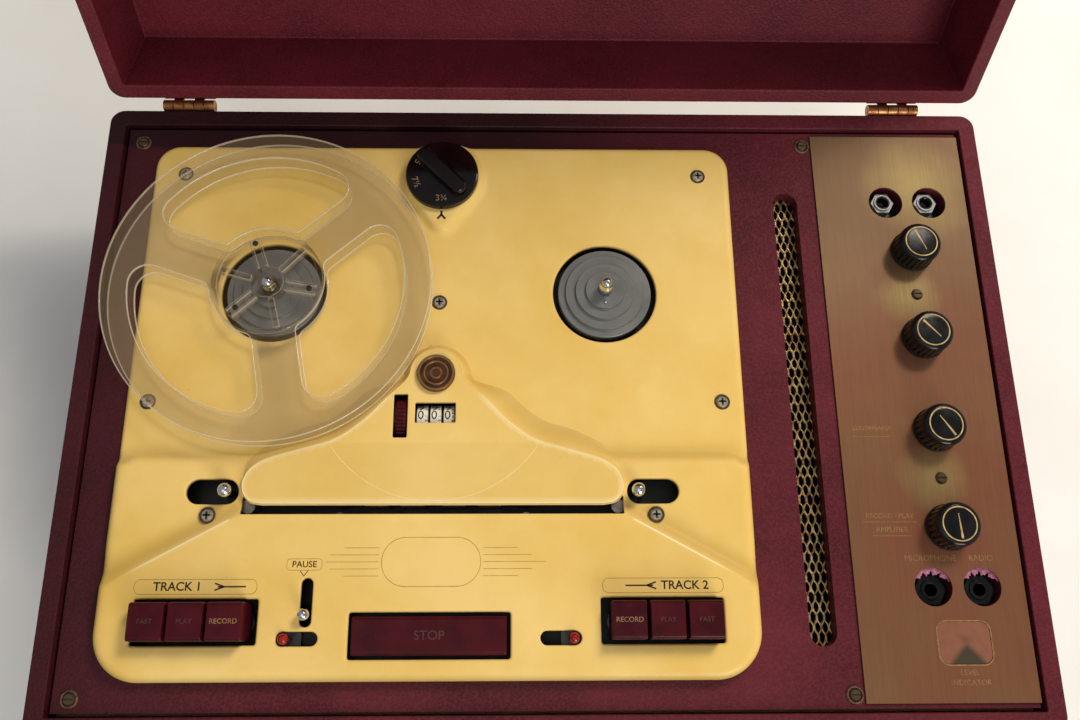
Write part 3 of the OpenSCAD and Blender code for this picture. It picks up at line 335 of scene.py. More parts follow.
# ---- Vent ----
# A strip of gold-lacquered expanded metal behind a long slot. It is slit sheet pulled open, so every strand runs in
# a zigzag and leans, and neighbours meet in raised knuckles.
vent_x, vent_y, vent_z = 139.0, -5.0, 147.6
cell = np.array([3.9, 10.2])
run = np.linspace(-131, 131, 26*18 + 1)
strands = []
for k in range(-4, 4):
    wave = np.cos(2*np.pi*run/cell[1])*(1 if k % 2 else -1)
    sharp = np.sign(wave)*np.abs(wave)**0.75
    middle = np.stack([vent_x + (k + 0.5)*cell[0]/2 + sharp*cell[0]/4, vent_y + run, np.full_like(run, vent_z)], 1)
    lean = (0.75 if k % 2 else -0.75)*np.ones_like(run)
    half = np.stack([np.full_like(run, 0.6), np.zeros_like(run), 0.6*np.sin(lean)], 1)
    thick = np.array([0, 0, 0.4])
    rows = np.stack([middle - half - thick, middle + half - thick, middle + half + thick, middle - half + thick], 1)
    strands.append(grid(rows, round_columns=True))
# Gold lacquer on steel: bright on the knuckles, brown where dust lies in the openings.
gold_lacquer = finish("gold_lacquered_mesh", "#F2D69C", "#A88048", 3, 0.5, 0.03, (0.25, 0.45), Metallic=0.9)
piece("vent_strands", joined(*strands), gold_lacquer, "case", "mesh_brass", "vent_mesh")

# ---- Deck cover ----
# A compression-moulded cream cover that hides the mechanism. Its rear is low, the flanks beside the heads stand 4 mm
# higher and the keyboard 6 mm, with a crest and a hollow between; all its edges roll down to the board.
DECK = np.array([-60.0, 58.2, 160.0])
half_w, deck_back, deck_front = 166.5, 91.8, -205.7
spindle_x = 92.008


def rounded(centre, width, depth, radius):
    """A rectangle with round corners, as a closed loop of points."""
    x, y = width/2 - radius, depth/2 - radius
    corners = ((x, y, 0), (-x, y, 90), (-x, -y, 180), (x, -y, 270))
    return np.concatenate([arc((centre[0] + cx, centre[1] + cy), radius, a, a + 90, 13) for cx, cy, a in corners])


def even(loop, step):
    """A closed loop at even steps along its length."""
    ring = np.vstack([loop, loop[:1]])
    length = np.concatenate([[0], np.cumsum(np.linalg.norm(np.diff(ring, axis=0), axis=1))])
    at = np.linspace(0, length[-1], max(int(length[-1]/step), 16), endpoint=False)
    return np.stack([np.interp(at, length, ring[:, i]) for i in (0, 1)], 1)


def outwards(loop):
    """Unit normals of a loop, right of its direction, from the neighbours on both sides of each point."""
    t = np.roll(loop, -1, 0) - np.roll(loop, 1, 0)
    n = np.stack([t[:, 1], -t[:, 0]], 1)
    return n/np.linalg.norm(n, axis=1, keepdims=True)


def depth_in(points, loop):
    """Distance of points from a loop's edges, positive inside, where a ray to the right crosses it an odd number of
    times."""
    a, d = loop, np.roll(loop, -1, 0) - loop
    found = []
    for block in np.array_split(points, len(points)//1500 + 1):
        rel = block[:, None] - a
        t = np.clip((rel*d).sum(-1)/np.maximum((d*d).sum(-1), 1e-12), 0, 1)
        gap = np.linalg.norm(rel - t[..., None]*d, axis=-1).min(1)
        crosses = (rel[..., 1] < 0) != (rel[..., 1] < d[:, 1])
        slope = d[:, 0]/np.where(d[:, 1] == 0, 1e-12, d[:, 1])
        odd = (crosses & (rel[..., 0] < rel[..., 1]*slope)).sum(1) % 2 == 1
        found.append(np.where(odd, gap, -gap))
    return np.concatenate(found)


def filled(loops, step=0.0, rows=()):
    """Triangles between an outer loop and the holes in it: points on a square grid, those near a loop or row left out,
    are joined to the loops and rows in a constrained Delaunay mesh. The loops' own points come first."""
    fixed = np.concatenate([*loops, *rows])
    links, first = [], 0
    for line, closed in [(loop, True) for loop in loops] + [(row, False) for row in rows]:
        number = np.arange(len(line)) + first
        links += np.stack([number, np.roll(number, -1)], 1)[:None if closed else -1].tolist()
        first += len(line)
    points = fixed
    if step:
        low, high = loops[0].min(0), loops[0].max(0)
        x, y = np.meshgrid(np.arange(low[0] + step/2, high[0], step), np.arange(low[1] + step/2, high[1], step))
        field = np.stack([x.ravel(), y.ravel()], 1)
        room = np.min([depth_in(field, loops[0])] + [-depth_in(field, hole) for hole in loops[1:]], 0)
        for row in rows:
            room = np.minimum(room, np.abs(depth_in(field, np.vstack([row, row[::-1] + 1e-6]))))
        points = np.concatenate([fixed, field[room > 0.6*step]])
    made = geometry.delaunay_2d_cdt([Vector(p) for p in points], links, [], 0, 1e-7)
    points, faces, given = np.array(made[0]), np.array(made[2]), len(points)
    rim = sum(len(loop) for loop in loops)
    doubtful = ((faces < rim) | (faces >= given)).all(1)
    middle = points[faces[doubtful]].mean(1)
    keep = np.ones(len(faces), bool)
    keep[doubtful] = np.min([depth_in(middle, loops[0])] + [-depth_in(middle, hole) for hole in loops[1:]], 0) > 0
    return points, faces[keep].tolist()


def moulded(loops, rolls, height, floors, step, rows=()):
    """A moulded skin: a height over its plan, which rolls at every loop over a quarter circle to a short wall. At the
    angle t a point lies roll*sin(t) outside the inset loop and roll*(1 - cos(t)) below it."""
    sides = [outwards(loop) for loop in loops]
    rolls = [np.broadcast_to(roll, len(loop))[:, None] for roll, loop in zip(rolls, loops)]
    inset = [loop - roll*side for loop, roll, side in zip(loops, rolls, sides)]
    plan, faces = filled(inset, step, rows)
    shapes = [(np.column_stack([plan, height(plan)]), faces)]
    for start, roll, side, floor in zip(inset, rolls, sides, floors):
        top = height(start)[:, None]
        floor = np.broadcast_to(floor, len(start))[:, None]
        t = np.radians([0, 18, 36, 54, 72, 90])[:, None, None]
        flat = start + roll*np.sin(t)*side
        drop = top - roll*(1 - np.cos(t))
        rings = np.concatenate([flat, np.broadcast_to(drop, flat.shape[:2] + (1,))], 2)
        wall = np.concatenate([flat[-1], np.minimum(floor, drop[-1])], 1)[None]
        shapes.append(grid(np.concatenate([rings, wall]), round_columns=True))
    return joined(*shapes)


def ease(t):
    """Smooth step from 0 to 1: 3t^2 - 2t^3."""
    t = np.clip(t, 0, 1)
    return t*t*(3 - 2*t)


def both(line):
    """A line on the right with its mirror image, as one loop that runs from right to left."""
    return np.vstack([line, line[::-1]*(-1, 1)])


flank_edge = both(np.vstack([[[260, -260], [260, -125], [190, -112]], arc((154.5, -106.5), 12, 0, 90, 12)]))
crest = np.array([[99.0, -124.3], [156.5, -155.9], [166.5, -163.7], [200, -195], [200, -260]])
boss_tip, boss_r, tip_r = (0.0, 44.5), 22.5, 7.5
lean = math.degrees(math.acos((boss_r - tip_r)/25.5))
boss = both(np.vstack([arc(boss_tip, tip_r, -90, lean - 90, 8), arc((0, 70), boss_r, lean - 90, 90, 30)]))


def deck_height(p):
    """Height of the deck over its plan: the flanks ease up over 6 mm; the keyboard falls from its crest as a square
    curve into a hollow that fades out behind it; the speed boss eases up over 5 mm."""
    flank = depth_in(p, flank_edge)
    level = 4*ease((flank + 4)/6)
    keys = depth_in(p, both(crest))
    fall = np.clip(-keys, 0, None)
    outside = level + (6 - level)*np.clip(1 - fall/8, 0, 1)**2
    outside -= 1.1*ease(fall/6)*(1 - ease((fall - 6)/13))*ease(level/4)
    z = np.where(keys > 0, 6.0, outside)
    rise = 4*ease((depth_in(p, boss) + 2.5)/5)
    pip = 0.7*ease((5.6 - np.hypot(p[:, 0] - 0.5, p[:, 1] + 33.8))/0.8)
    return np.maximum(np.maximum(z, rise), pip)


back_r, front_r = 14, 24
outline = even(np.concatenate([arc((half_w - back_r, deck_back - back_r), back_r, 0, 90, 20),
                               arc((back_r - half_w, deck_back - back_r), back_r, 90, 180, 20),
                               arc((front_r - half_w, deck_front + front_r), front_r, 180, 270, 30),
                               arc((half_w - front_r, deck_front + front_r), front_r, 270, 360, 30)]), 1.6)
tee = both(np.array([[98.6, -124.0], [98.6, -114.3], [94, -114.3], [94, -100.3], [27, -100.3], [27, -58.3]]))
mirrored = [(side*spindle_x, 0) for side in (-1, 1)]
holes = [even(arc(c, 28.9, 0, 359, 120), 1.2) for c in mirrored]
holes += [even(rounded((side*114.22, -112), 27, 13, 6.49), 0.9) for side in (-1, 1)]
holes += [even(rounded((side*65.3, -185.5), 20.6, 7, 3.49), 0.8) for side in (-1, 1)]
holes += [even(rounded((-61.7, -168), 6, 24, 2.99), 0.8)]
holes += [even(rounded((side*116.3, -177.3), 61.8, 22.3, 1.2), 0.8) for side in (-1, 1)]
holes += [even(rounded((0, -184.2), 80.4, 22.6, 1.2), 0.8), even(tee, 1.0)]
loops = [outline] + [hole[::-1] if np.sum(np.cross(hole, np.roll(hole, -1, 0))) > 0 else hole for hole in holes]
rolls = [3 + 2*ease((-88 - outline[:, 1])/14)] + [1.0]*2 + [0.8]*5 + [1.3]*3 + [0.5]
floors = [np.full(len(outline), -2.95)] + [deck_height(loop) - 3.0 for loop in loops[1:]]
at = np.linspace(0, 1, 40)[:, None]
line = np.array([101.5, -125.7]) + at*(np.array([156.0, -155.7]) - [101.5, -125.7])
across = np.array([0.4816, 0.8764])
rows = [(line + off*across)*(side, 1) for side in (-1, 1) for off in (-0.7, 0.0, 0.7)]
plan = moulded(loops, rolls, deck_height, floors, 1.9, rows)

# Cream moulding, once ivory: it has yellowed unevenly, and is a darker brown in its hollows, dust and painted shade
# together. A painted highlight runs as a pale line along its crests.
cream = Skin("aged_cream_moulding", Specular_IOR_Level=0.4)
cloud = cream.spread(cream.noise(90, 5.0, 0.6), 0.34, 0.66)
tone = cream.mix(cloud, "#DEB75C", "#ECCA7C")
tone = cream.mix(cream.spread(cream.noise(5, 6.0, 0.7), 0.66, 0.8, end=0.5), tone, "#B08A48")
# Dust and painted shade: darker brown where the piece marks it.
tone = cream.mix(cream.mark("dust_and_shade"), tone, "#A8832F")
# Painted highlight: pale cream where the piece marks its crests.
tone = cream.mix(cream.mark("crest_highlight"), tone, "#FFEFC4")
cream_moulding = cream.wired(Base_Color=tone, Roughness=cream.spread(cloud, start=0.42, end=0.3),
                             Normal=cream.bump(cream.noise(2.5, 2.0), 0.25, 0.08))


def marked(thing, name, amount):
    """Writes an amount from 0 to 1 at each point of a piece, such as dust or wear, for its material to read."""
    layer = thing.data.attributes.new(name, "FLOAT", "POINT")
    layer.data.foreach_set("value", amount(points_of(thing.data)*1000 - DECK))


def in_hollows(p):
    """Dust and painted shade on the deck: along the hollows beside the crest, and fainter behind the flanks."""
    keys, flank = -depth_in(p[:, :2], both(crest)), -depth_in(p[:, :2], flank_edge)
    near = np.exp(-((keys - 6)/5)**2)*(keys > 0) + 0.6*np.exp(-((flank - 3)/5)**2)*(flank > 0)
    return np.clip(0.4*near, 0, 0.5)


deck = piece("deck_moulding", (plan[0] + DECK, plan[1]), cream_moulding, "case", "cream_plastic", "deck_cover",
             upward=True)
# The deck's marks: dust and painted shade in its hollows, and a painted highlight along the keyboard's crest.
marked(deck, "dust_and_shade", in_hollows)
marked(deck, "crest_highlight", lambda p: 0.75*np.exp(-(depth_in(p[:, :2], both(crest))/0.45)**2)*(np.abs(p[:, 0]) > 103)
       * (1 - ease((np.abs(p[:, 0]) - 140)/16)))
wall = deck.modifiers.new("wall of the moulding", "SOLIDIFY")
wall.thickness, wall.offset = 0.0018, -1.0

# ---- Head cover ----
# A loose moulding over the tape heads, held by the medallion nut. It is highest at its crest, its front leans towards
# the tape slot from a crease, and its sides sweep down to the deck in a hollow curve.
nut = np.array([0.0, -49.6])


def through(points, count):
    """A smooth line through points: between two of them it is the cubic whose slope at each is half the step between
    its neighbours."""
    ends = np.vstack([2*points[0] - points[1], points, 2*points[-1] - points[-2]])
    t = np.linspace(0, 1, count, endpoint=False)[:, None, None]
    a, b, c, d = ends[:-3], ends[1:-2], ends[2:-1], ends[3:]
    line = b + t*(c - a)/2 + t**2*(a - 2.5*b + 2*c - d/2) + t**3*(1.5*(b - c) + (d - a)/2)
    return np.vstack([line.transpose(1, 0, 2).reshape(-1, 2), points[-1:]])


flowing = np.array([(88, -118.7), (94.2, -117.3), (98.0, -112.6), (98.2, -106.4), (94.4, -100.2), (86, -95.2),
                    (70, -90.4), (52, -85), (37, -74.2), (26.2, -63), (17.4, -54.4), (14.2, -49.6)])
edge = even(both(np.vstack([through(flowing, 12)[:-1], arc(nut, 14.2, 0, 90, 14)])), 1.2)
window = even(rounded((0, -70.9), 21.4, 11, 0.7), 0.6)[::-1]
wheel_slot = even(rounded((-18.3, -72.6), 7.4, 23.6, 0.7), 0.6)[::-1]


def head_height(p):
    """The top: level at 8 mm behind the crease, and from there falling 4.5 mm in 100 towards the tape."""
    return 8 - 0.045*np.clip(-87.3 - p[:, 1], 0, None)


crease = np.stack([np.linspace(-52, 52, 60), np.full(60, -87.3)], 1)
top = moulded([edge - 0.7*outwards(edge), window, wheel_slot], [0.02, 0.5, 0.5], head_height,
              [head_height(edge) - 0.01, np.full(len(window), 5.6), np.full(len(wheel_slot), 5.6)], 1.9,
              [crease + (0, d) for d in (-0.5, 0.5)])
front = ease((-112 - edge[:, 1])/6)*ease((97 - np.abs(edge[:, 0]))/4)
flare = (4 + 10*ease((-52 - edge[:, 1])/16))*(1 - ease((-88 - edge[:, 1])/20)) + 0.8
t = np.concatenate([[-0.7, -0.3], np.linspace(0, 1, 12)])[:, None]
reach = np.where(t < 0, t, t*flare)
plan = edge + reach[..., None]*outwards(edge)
under = deck_height(plan.reshape(-1, 2)).reshape(reach.shape)
under = under*(1 - front) + 5.4*front - 0.15
high = head_height(edge)
z = np.where(t < 0, high - 0.25*(t + 0.7)**2, under + (high - 0.2 - under)*np.clip(1 - t, 0, 1)**2)
skirt = grid(np.dstack([plan, z]), round_columns=True)
cover = joined(top, skirt)
cover = piece("head_cover_moulding", (cover[0] + DECK, cover[1]), cream_moulding, "case", "cream_plastic", "head_cover",
              upward=True)
# The head cover's marks: dust and painted shade low on its sides, where they sweep down to the deck, and a little on
# its front slope; a painted highlight along its crest.
marked(cover, "dust_and_shade", lambda p: np.clip(0.4*(1 - p[:, 2]/6), 0, 0.35)*(p[:, 1] > -106)
       + 0.1*(p[:, 1] < -87)*(p[:, 2] > 5.5))
marked(cover, "crest_highlight", lambda p: 0.6*np.exp(-((depth_in(p[:, :2], edge) - 0.3)/0.5)**2)*ease((-56 - p[:, 1])/10)
       * (p[:, 2] > 5.6))
wall = cover.modifiers.new("wall of the moulding", "SOLIDIFY")
wall.thickness, wall.offset = 0.001, -1.0

# ---- Medallion nut ----
# A turned and bronzed brass nut on a stud, which holds the head cover down. Its face has plain raised rings.


def turned(profile, place, steps=72):
    """A profile of radius and height carried round an upright axis at a place."""
    a = np.linspace(0, 2*np.pi, steps, endpoint=False)
    r, z = np.asarray(profile, float).T[:, :, None]
    return grid(np.stack([place[0] + r*np.cos(a), place[1] + r*np.sin(a), place[2] + z + 0*a], -1), round_columns=True)


rings = [(0, -17), (3, -17), (3, 0), (10.2, 0), (10.2, 2.1), (9.7, 2.8), (8.7, 2.8), (8.3, 2.2), (6.9, 2.2),
         (6.6, 2.55), (6.0, 2.55), (5.7, 2.2), (3.4, 2.2), (3.1, 2.5), (2.4, 2.5), (2.1, 2.3), (0, 2.3)]
# Bronzed brass: brown patina that is polished through on the raised rings.
bronze = finish("bronzed_brass", "#6E4728", "#452B1A", 5, 0.5, 0.05, (0.45, 0.34), "#A88056", Metallic=0.7)
medallion = piece("medallion", turned(rings, DECK + (*nut, 8)), bronze, "case", "medallion_bronze", "medallion_nut")
marked(bevelled(medallion, 0.2), "worn", lambda p: 0.7*ease((p[:, 2] - 10.3)/0.3))

# ---- Speed knob ----
# A dark brown moulded disc with a finger bar across it, on a shaft through the deck. Three speed figures are stamped
# in its rim and filled with tan paint; a printed arrow on the deck shows which one is set.


def plate(loops, low, high, roll, rows=()):
    """A flat plate with rounded edges: its plan, inset, closes it above and below, and at every loop the edge bulges
    in two quarter circles between them. Rows of points in the plan are met by its triangles."""
    inset = [loop - (roll + 0.3)*outwards(loop) for loop in loops]
    plan, faces = filled(inset, rows=rows)
    shapes = [(np.column_stack([plan, np.full(len(plan), z)]), faces) for z in (low, high)]
    t = np.radians([0, 30, 60, 90])
    out = np.concatenate([[0], 0.3 + roll*np.sin(t)])
    drop = np.concatenate([[0], roll*(1 - np.cos(t))])
    out, z = np.concatenate([out, out[::-1]]), np.concatenate([high - drop, low + drop[::-1]])
    for start in inset:
        flat = start + out[:, None, None]*outwards(start)
        rings = np.concatenate([flat, np.broadcast_to(z[:, None, None], flat.shape[:2] + (1,))], 2)
        shapes.append(grid(rings, round_columns=True))
    return joined(*shapes)


def turned_plan(points, angle, centre=(0.0, 0.0)):
    """Points in the plane turned by an angle in degrees and moved to a centre."""
    c, s = math.cos(math.radians(angle)), math.sin(math.radians(angle))
    return points @ np.array([[c, s], [-s, c]]) + centre


def words(text, size, spot, angle=0.0, bold=0.0):
    """Letters of the plain built-in face as flat filled outlines about a spot; the size is that of the type, and bold
    is how far every outline is moved out."""
    curve = bpy.data.curves.new("letters", "FONT")
    curve.body, curve.size, curve.align_x, curve.align_y, curve.resolution_u = text, size, "CENTER", "CENTER", 5
    curve.offset = bold
    holder = linked("letters", curve)
    mesh = bpy.data.meshes.new_from_object(holder.evaluated_get(bpy.context.evaluated_depsgraph_get()))
    points, faces = points_of(mesh)[:, :2], [list(face.vertices) for face in mesh.polygons]
    bpy.data.objects.remove(holder)
    bpy.data.curves.remove(curve)
    bpy.data.meshes.remove(mesh)
    return turned_plan(points, angle, spot), faces


def level(z):
    """The height of a flat surface, as a function of places on it."""
    return lambda p: np.full(len(p), z)


def printed(name, marks, height, skin, body, slot):
    """Flat marks in the deck's plan as one thin skin, 0.05 mm above a surface of that height."""
    points, faces = joined(*marks)
    return piece(name, (np.column_stack([points, height(points) + 0.05]) + DECK, faces), skin, body, slot, upward=True)


speed_at = np.array([0.0, 70.0])
disc = [(0, -30), (3, -30), (3, 0), (20.8, 0), (20.8, 3.1), (20.3, 3.9), (19.4, 4.2), (0, 4.2)]
grip = turned_plan(even(rounded((0, 0), 36.4, 9, 4.49), 0.8), -45, speed_at + DECK[:2])
knob_foot = DECK + (*speed_at, 4.3)
knob = joined(turned(disc, knob_foot, 96), plate([grip], knob_foot[2] + 3, knob_foot[2] + 9.5, 1.2))
# Dark brown compression moulding, glossy and a little scuffed.
dark_moulding = finish("dark_brown_moulding", "#100706", "#080303", 12, 0.9, 0.03, (0.1, 0.2), Specular_IOR_Level=0.4)
bevelled(piece("speed_disc", knob, dark_moulding, "speed_control", "speed_plastic", "speed_knob"), 0.25)
# Filling paint in stamped figures: matt tan.
tan_paint = finish("tan_filling_paint", "#A88C66", "#6A503C", 3, 0.4, 0.01, (0.55, 0.7))
figures = [words(text, 5.2, speed_at + 15.8*np.array([math.cos(a), math.sin(a)]), math.degrees(a) + 90)
           for text, a in (("15", 2.60), ("7½", 3.53), ("3¾", 4.72))]
printed("speed_figures", figures, level(8.5), tan_paint, "speed_control", "speed_plastic")

# ---- Tape counter ----
# Three white figure wheels on a fixed axle, with carry teeth at their right-hand sides, and a maroon ribbed wheel at
# the left that a finger turns back to zero.
counter = DECK + (0, -72.6, -2.7)


def drum(radius, x0, x1, place, steps=180):
    """A drum about an axle along X: its radius is a function of the place along the axle and of the angle, and both
    ends close on the axle. Angle 0 points up and turns towards the front."""
    a = np.linspace(0, 2*np.pi, steps, endpoint=False)
    x = np.concatenate([[x0], np.linspace(x0, x1, 12), [x1]])[:, None]
    r = radius((x - x0)/(x1 - x0), a[None])
    r[0], r[-1] = 1.6, 1.6
    points = np.stack([x + 0*a, -r*np.sin(a), r*np.cos(a)], -1)
    return grid(points + place, round_columns=True)


def toothed(u, a):
    """Figure wheel: 7.8 mm, with twenty square teeth 1.3 mm deep over its last quarter."""
    return 7.75 - 1.3*(u > 0.74)*(np.cos(20*a) > 0)


wheel_pitch, wheel_r = 7.1, 7.75
wheels = [drum(toothed, i*wheel_pitch - 2.8, i*wheel_pitch + 2.8, counter) for i in (-1, 0, 1)]
# White moulding with a satin face, slightly yellow with age.
white_moulding = finish("white_moulding", "#EDE9DC", "#D9D2BE", 6, 0.6, 0.02, (0.4, 0.55))
piece("figure_wheels", joined(*wheels), white_moulding, "counter", "counter_plastic", "counter_wheels")
marks = []
for i in (-1, 0, 1):
    for digit in range(10):
        flat, faces = words(str(digit), 6.8, (i*wheel_pitch - 0.7, 0))
        a, r = digit*np.pi/5 - flat[:, 1]/wheel_r - 0.12, wheel_r + 0.05
        wrapped = np.stack([flat[:, 0], -r*np.sin(a), r*np.cos(a)], 1)
        marks.append((wrapped + counter, faces))
# Printing ink on the wheels: black and matt.
black_ink = finish("black_ink", "#1C1A1A", "#0E0D0D", 2, 0.4, 0.01, (0.5, 0.65))
piece("figures", joined(*marks), black_ink, "counter", "counter_plastic")


def ribbed(u, a):
    """Reset wheel: 11.2 mm with thirty shallow ribs, and rounded over at both sides."""
    return 11.2 - 0.55*(0.5 + 0.5*np.cos(30*a))**2 - 0.9*np.clip(np.abs(2*u - 1) - 0.72, 0, 1)**2/0.08


# Maroon moulding, as on the keys: deep colour with a hand-polished gloss.
maroon_moulding = finish("maroon_moulding", "#480B15", "#360810", 14, 0.8, 0.02, (0.24, 0.38), Specular_IOR_Level=0.2)
piece("reset_barrel", drum(ribbed, -21.5, -15.1, counter, 360), maroon_moulding, "counter", "maroon_plastic",
      "reset_wheel")

# ---- Turntables ----
# Die-cast discs with stepped seats, turned and sprayed grey, on long shafts in the chassis. Each carries a polished
# spindle with a ball tip that the reel drops over.


def spun_grey(name, centre):
    """Grey sprayed casting with fine turning rings about its own axis, drawn at 0.8 mm so that they show."""
    skin = Skin(name, Metallic=0.35)
    middle = skin.node("Mapping", "Vector", {"Vector": skin.where, "Location": tuple(-c/1000 for c in centre)})
    rings = skin.node("TexWave", "Fac", {"Vector": middle, "Scale": 1000/0.8/20, "Distortion": 0.6, "Detail": 3.0},
                      wave_type="RINGS", rings_direction="Z")
    patches = skin.noise(16, 5.0)
    return skin.wired(Base_Color=skin.mix(patches, "#626360", "#8A8A86"),
                      Roughness=skin.spread(patches, start=0.3, end=0.5), Normal=skin.bump(rings, 0.25, 0.06))


table_profile = [(0, -43), (4, -43), (4, -34), (30, -34), (30, -28), (4, -28), (4, -6), (26, -6), (26, -0.7),
                 (25.6, -0.4), (22.4, -0.4), (22.1, -0.2), (21.8, 1.4), (16.7, 1.4), (16.4, 1.6), (16.3, 3.2),
                 (11.2, 3.2), (10.9, 3.4), (10.8, 5.0), (0, 5.0)]
spindle_profile = [(0, 4.9), (3.9, 4.9), (3.9, 11.0), (3.6, 11.6), (2.2, 13.3), (2.2, 13.8), (2.7, 14.2), (3.0, 14.9),
                   (3.0, 15.6), (2.75, 16.4), (2.2, 17.1), (1.4, 17.6), (0.6, 17.8), (0, 17.8)]
# Chrome plate on turned steel: a mirror with faint hairlines.
chrome = finish("chrome_plate", "#E4E6E8", "#C4C8CC", 3, 0.3, 0.01, (0.06, 0.16), Metallic=1.0)
for side, x in (("left", -spindle_x), ("right", spindle_x)):
    place, body = DECK + (x, 0, 0), side + "_spool"
    disc = piece(side + "_turntable_disc", turned(table_profile, place, 96), spun_grey(side + "_spun_grey", place),
                 body, "turntable_grey", side + "_turntable")
    bevelled(disc, 0.35)
    peg = turned([(0, 5), (0.8, 5), (0.8, 5.6), (0.5, 5.9), (0, 5.9)], place + (0, -7.4, 0), 16)
    piece(side + "_spindle", joined(turned(spindle_profile, place, 40), peg), chrome, body, "turntable_grey")

# ---- Reel ----
# A clear polystyrene spool, moulded in two halves that are cemented at the hub. Each flange has three windows between
# wide spokes; the hub is a ring with a boss, three single ribs and three pairs that hold the dowels.
reel = DECK[:2] + (-spindle_x, 0)


def reel_window(spoke, inner, outer, half, small, large):
    """A window between two spokes: arcs at an inner and an outer radius, straight sides half a spoke's width from its
    middle line, and corners whose circles touch both. One half is worked out beside a spoke, then mirrored."""
    ci = np.array([math.sqrt((inner + small)**2 - (half + small)**2), half + small])
    co = np.array([math.sqrt((outer - large)**2 - (half + large)**2), half + large])
    ai, ao = math.degrees(math.atan2(ci[1], ci[0])), math.degrees(math.atan2(co[1], co[0]))
    line = np.vstack([arc((0, 0), inner, 60, ai, 14), arc(ci, small, ai + 180, 270, 8),
                      arc(co, large, 270, 360 + ao, 12), arc((0, 0), outer, ao, 60, 20)])
    flip = turned_plan(turned_plan(line, -60)*(1, -1), 60)
    return even(turned_plan(np.vstack([line, flip[::-1]]), spoke), 1.4)[::-1] + reel


def flange(bore):
    """The loops of one flange: its rim, its bore and its three windows."""
    rim = even(arc(reel, 88.9, 0, 358, 180), 1.6)
    middle = even(arc(reel, bore, 0, 350, 36), 1.0)[::-1]
    return [rim, middle] + [reel_window(spoke, 31.5, 73.9, 12, 4, 10) for spoke in (41, 161, 281)]


def rib(angle, offset, start, end, low, high, thick=1.3):
    """An upright web of the hub, along a line at an angle and offset sideways from the middle."""
    plan = rounded(((start + end)/2, offset), end - start, thick, 0.4)
    return plate([even(turned_plan(plan, angle, reel), 0.7)], low, high, 0.2)


hub_ring = [(27.4, 166.9), (29.6, 166.9), (30, 167.3), (30, 175.2), (30, 175.6), (29.6, 175.9), (27.4, 175.9),
            (27, 175.6), (27, 175.2), (27, 167.3), (27.4, 166.9)]
hub_boss = [(4.2, 166.9), (8.6, 166.9), (8.9, 167.2), (8.9, 175.2), (8.9, 175.6), (8.6, 175.9), (4.2, 175.9),
            (4.1, 175.6), (4.1, 167.2), (4.2, 166.9)]
webs = [rib(a, 0, 9.2, 26.7, 168, 175.5, 3.2) for a in (47, 164, 285)]
webs += [rib(a, side*2.4, 9.4, 26.6, 168, 175.5) for a in (110, 350.5, 223) for side in (-1, 1)]
# Clear polystyrene: see-through with a faint grey veil, and white along every moulded edge, where light gathers.
styrene = Skin("clear_polystyrene", Specular_IOR_Level=0.9, IOR=1.59)
haze, rim = styrene.noise(30, 4.0), styrene.mark("edge")
tone = styrene.mix(rim, styrene.mix(haze, "#8C6C3C", "#A0804C"), "#E4DAC2")
clear_styrene = styrene.wired(Base_Color=tone, Roughness=styrene.spread(haze, 0.35, 0.7, 0.05, 0.12),
                              Alpha=styrene.spread(rim, start=0.02, end=0.48))


def at_edges(p):
    """Marks the rounded edges of both flanges and the top edges of the hub's ring, boss and ribs in full, the flanges
    a little for their veil, and the hub hardly."""
    inside = lambda low, high: (p[:, 2] > low) & (p[:, 2] < high)
    edges = inside(5.05, 6.75) | inside(16.05, 17.75) | inside(15.28, 15.49) | inside(15.55, 15.65)
    radius = np.hypot(p[:, 0] + spindle_x, p[:, 1])
    return np.where(edges & (radius > 6), 1.0, np.where(radius > 30.2, 0.2, 0.03))


def opened(shape, level):
    """Leaves out the underside of a flange inside the hub, at that level, so that the hub stays clear."""
    points, faces = shape
    under = (np.abs(points[:, 2] - level) < 1e-6) & (np.hypot(*(points[:, :2] - reel).T) < 29.6)
    return points, [face for face in faces if not under[face].all()]


hub_line, reel_bore = [arc(reel, 29.5, 0, 357, 120)], 4.1
lower, upper = [opened(plate(flange(reel_bore), z, z + 1.8, 0.6, hub_line), z) for z in (165.0, 176.0)]
hub = [turned(hub_ring, (*reel, 0), 120), turned(hub_boss, (*reel, 0), 48), *webs]
for half, shape in (("lower", joined(lower, *hub)), ("upper", upper)):
    made = piece("reel_" + half + "_half", shape, clear_styrene, "left_spool", "clear_plastic",
                 "reel_" + half + "_flange")
    marked(made, "edge", at_edges)
dowels = [turned([(0, 175), (1.5, 175), (1.5, 175.85), (0, 175.85)], (*(reel + spot), 0), 20)
          for spot in ((-8.2, 22.5), (22.8, -3.8), (-15.8, -14.9))]
piece("reel_dowels", joined(*dowels), black_ink, "left_spool", "clear_plastic")

# ---- Tape arms and pause pin ----
# Polished pins with ball tips stand up through black slots in the deck, on arms and a slide on the chassis below.
# Blackened steel arms: the pins are plated, and bright where they stand clear of the deck.
arm_steel = finish("blackened_arm_steel", "#2C2D2E", "#1E1F20", 4, 0.4, 0.02, (0.12, 0.22), "#DCDFE2", Metallic=1.0)
for name in ("left_tape_arm", "right_tape_arm", "pause_lever"):
    marked(eased(name, 0.25, arm_steel, steps=2), "worn", lambda p: 1.0*(p[:, 2] > 0))

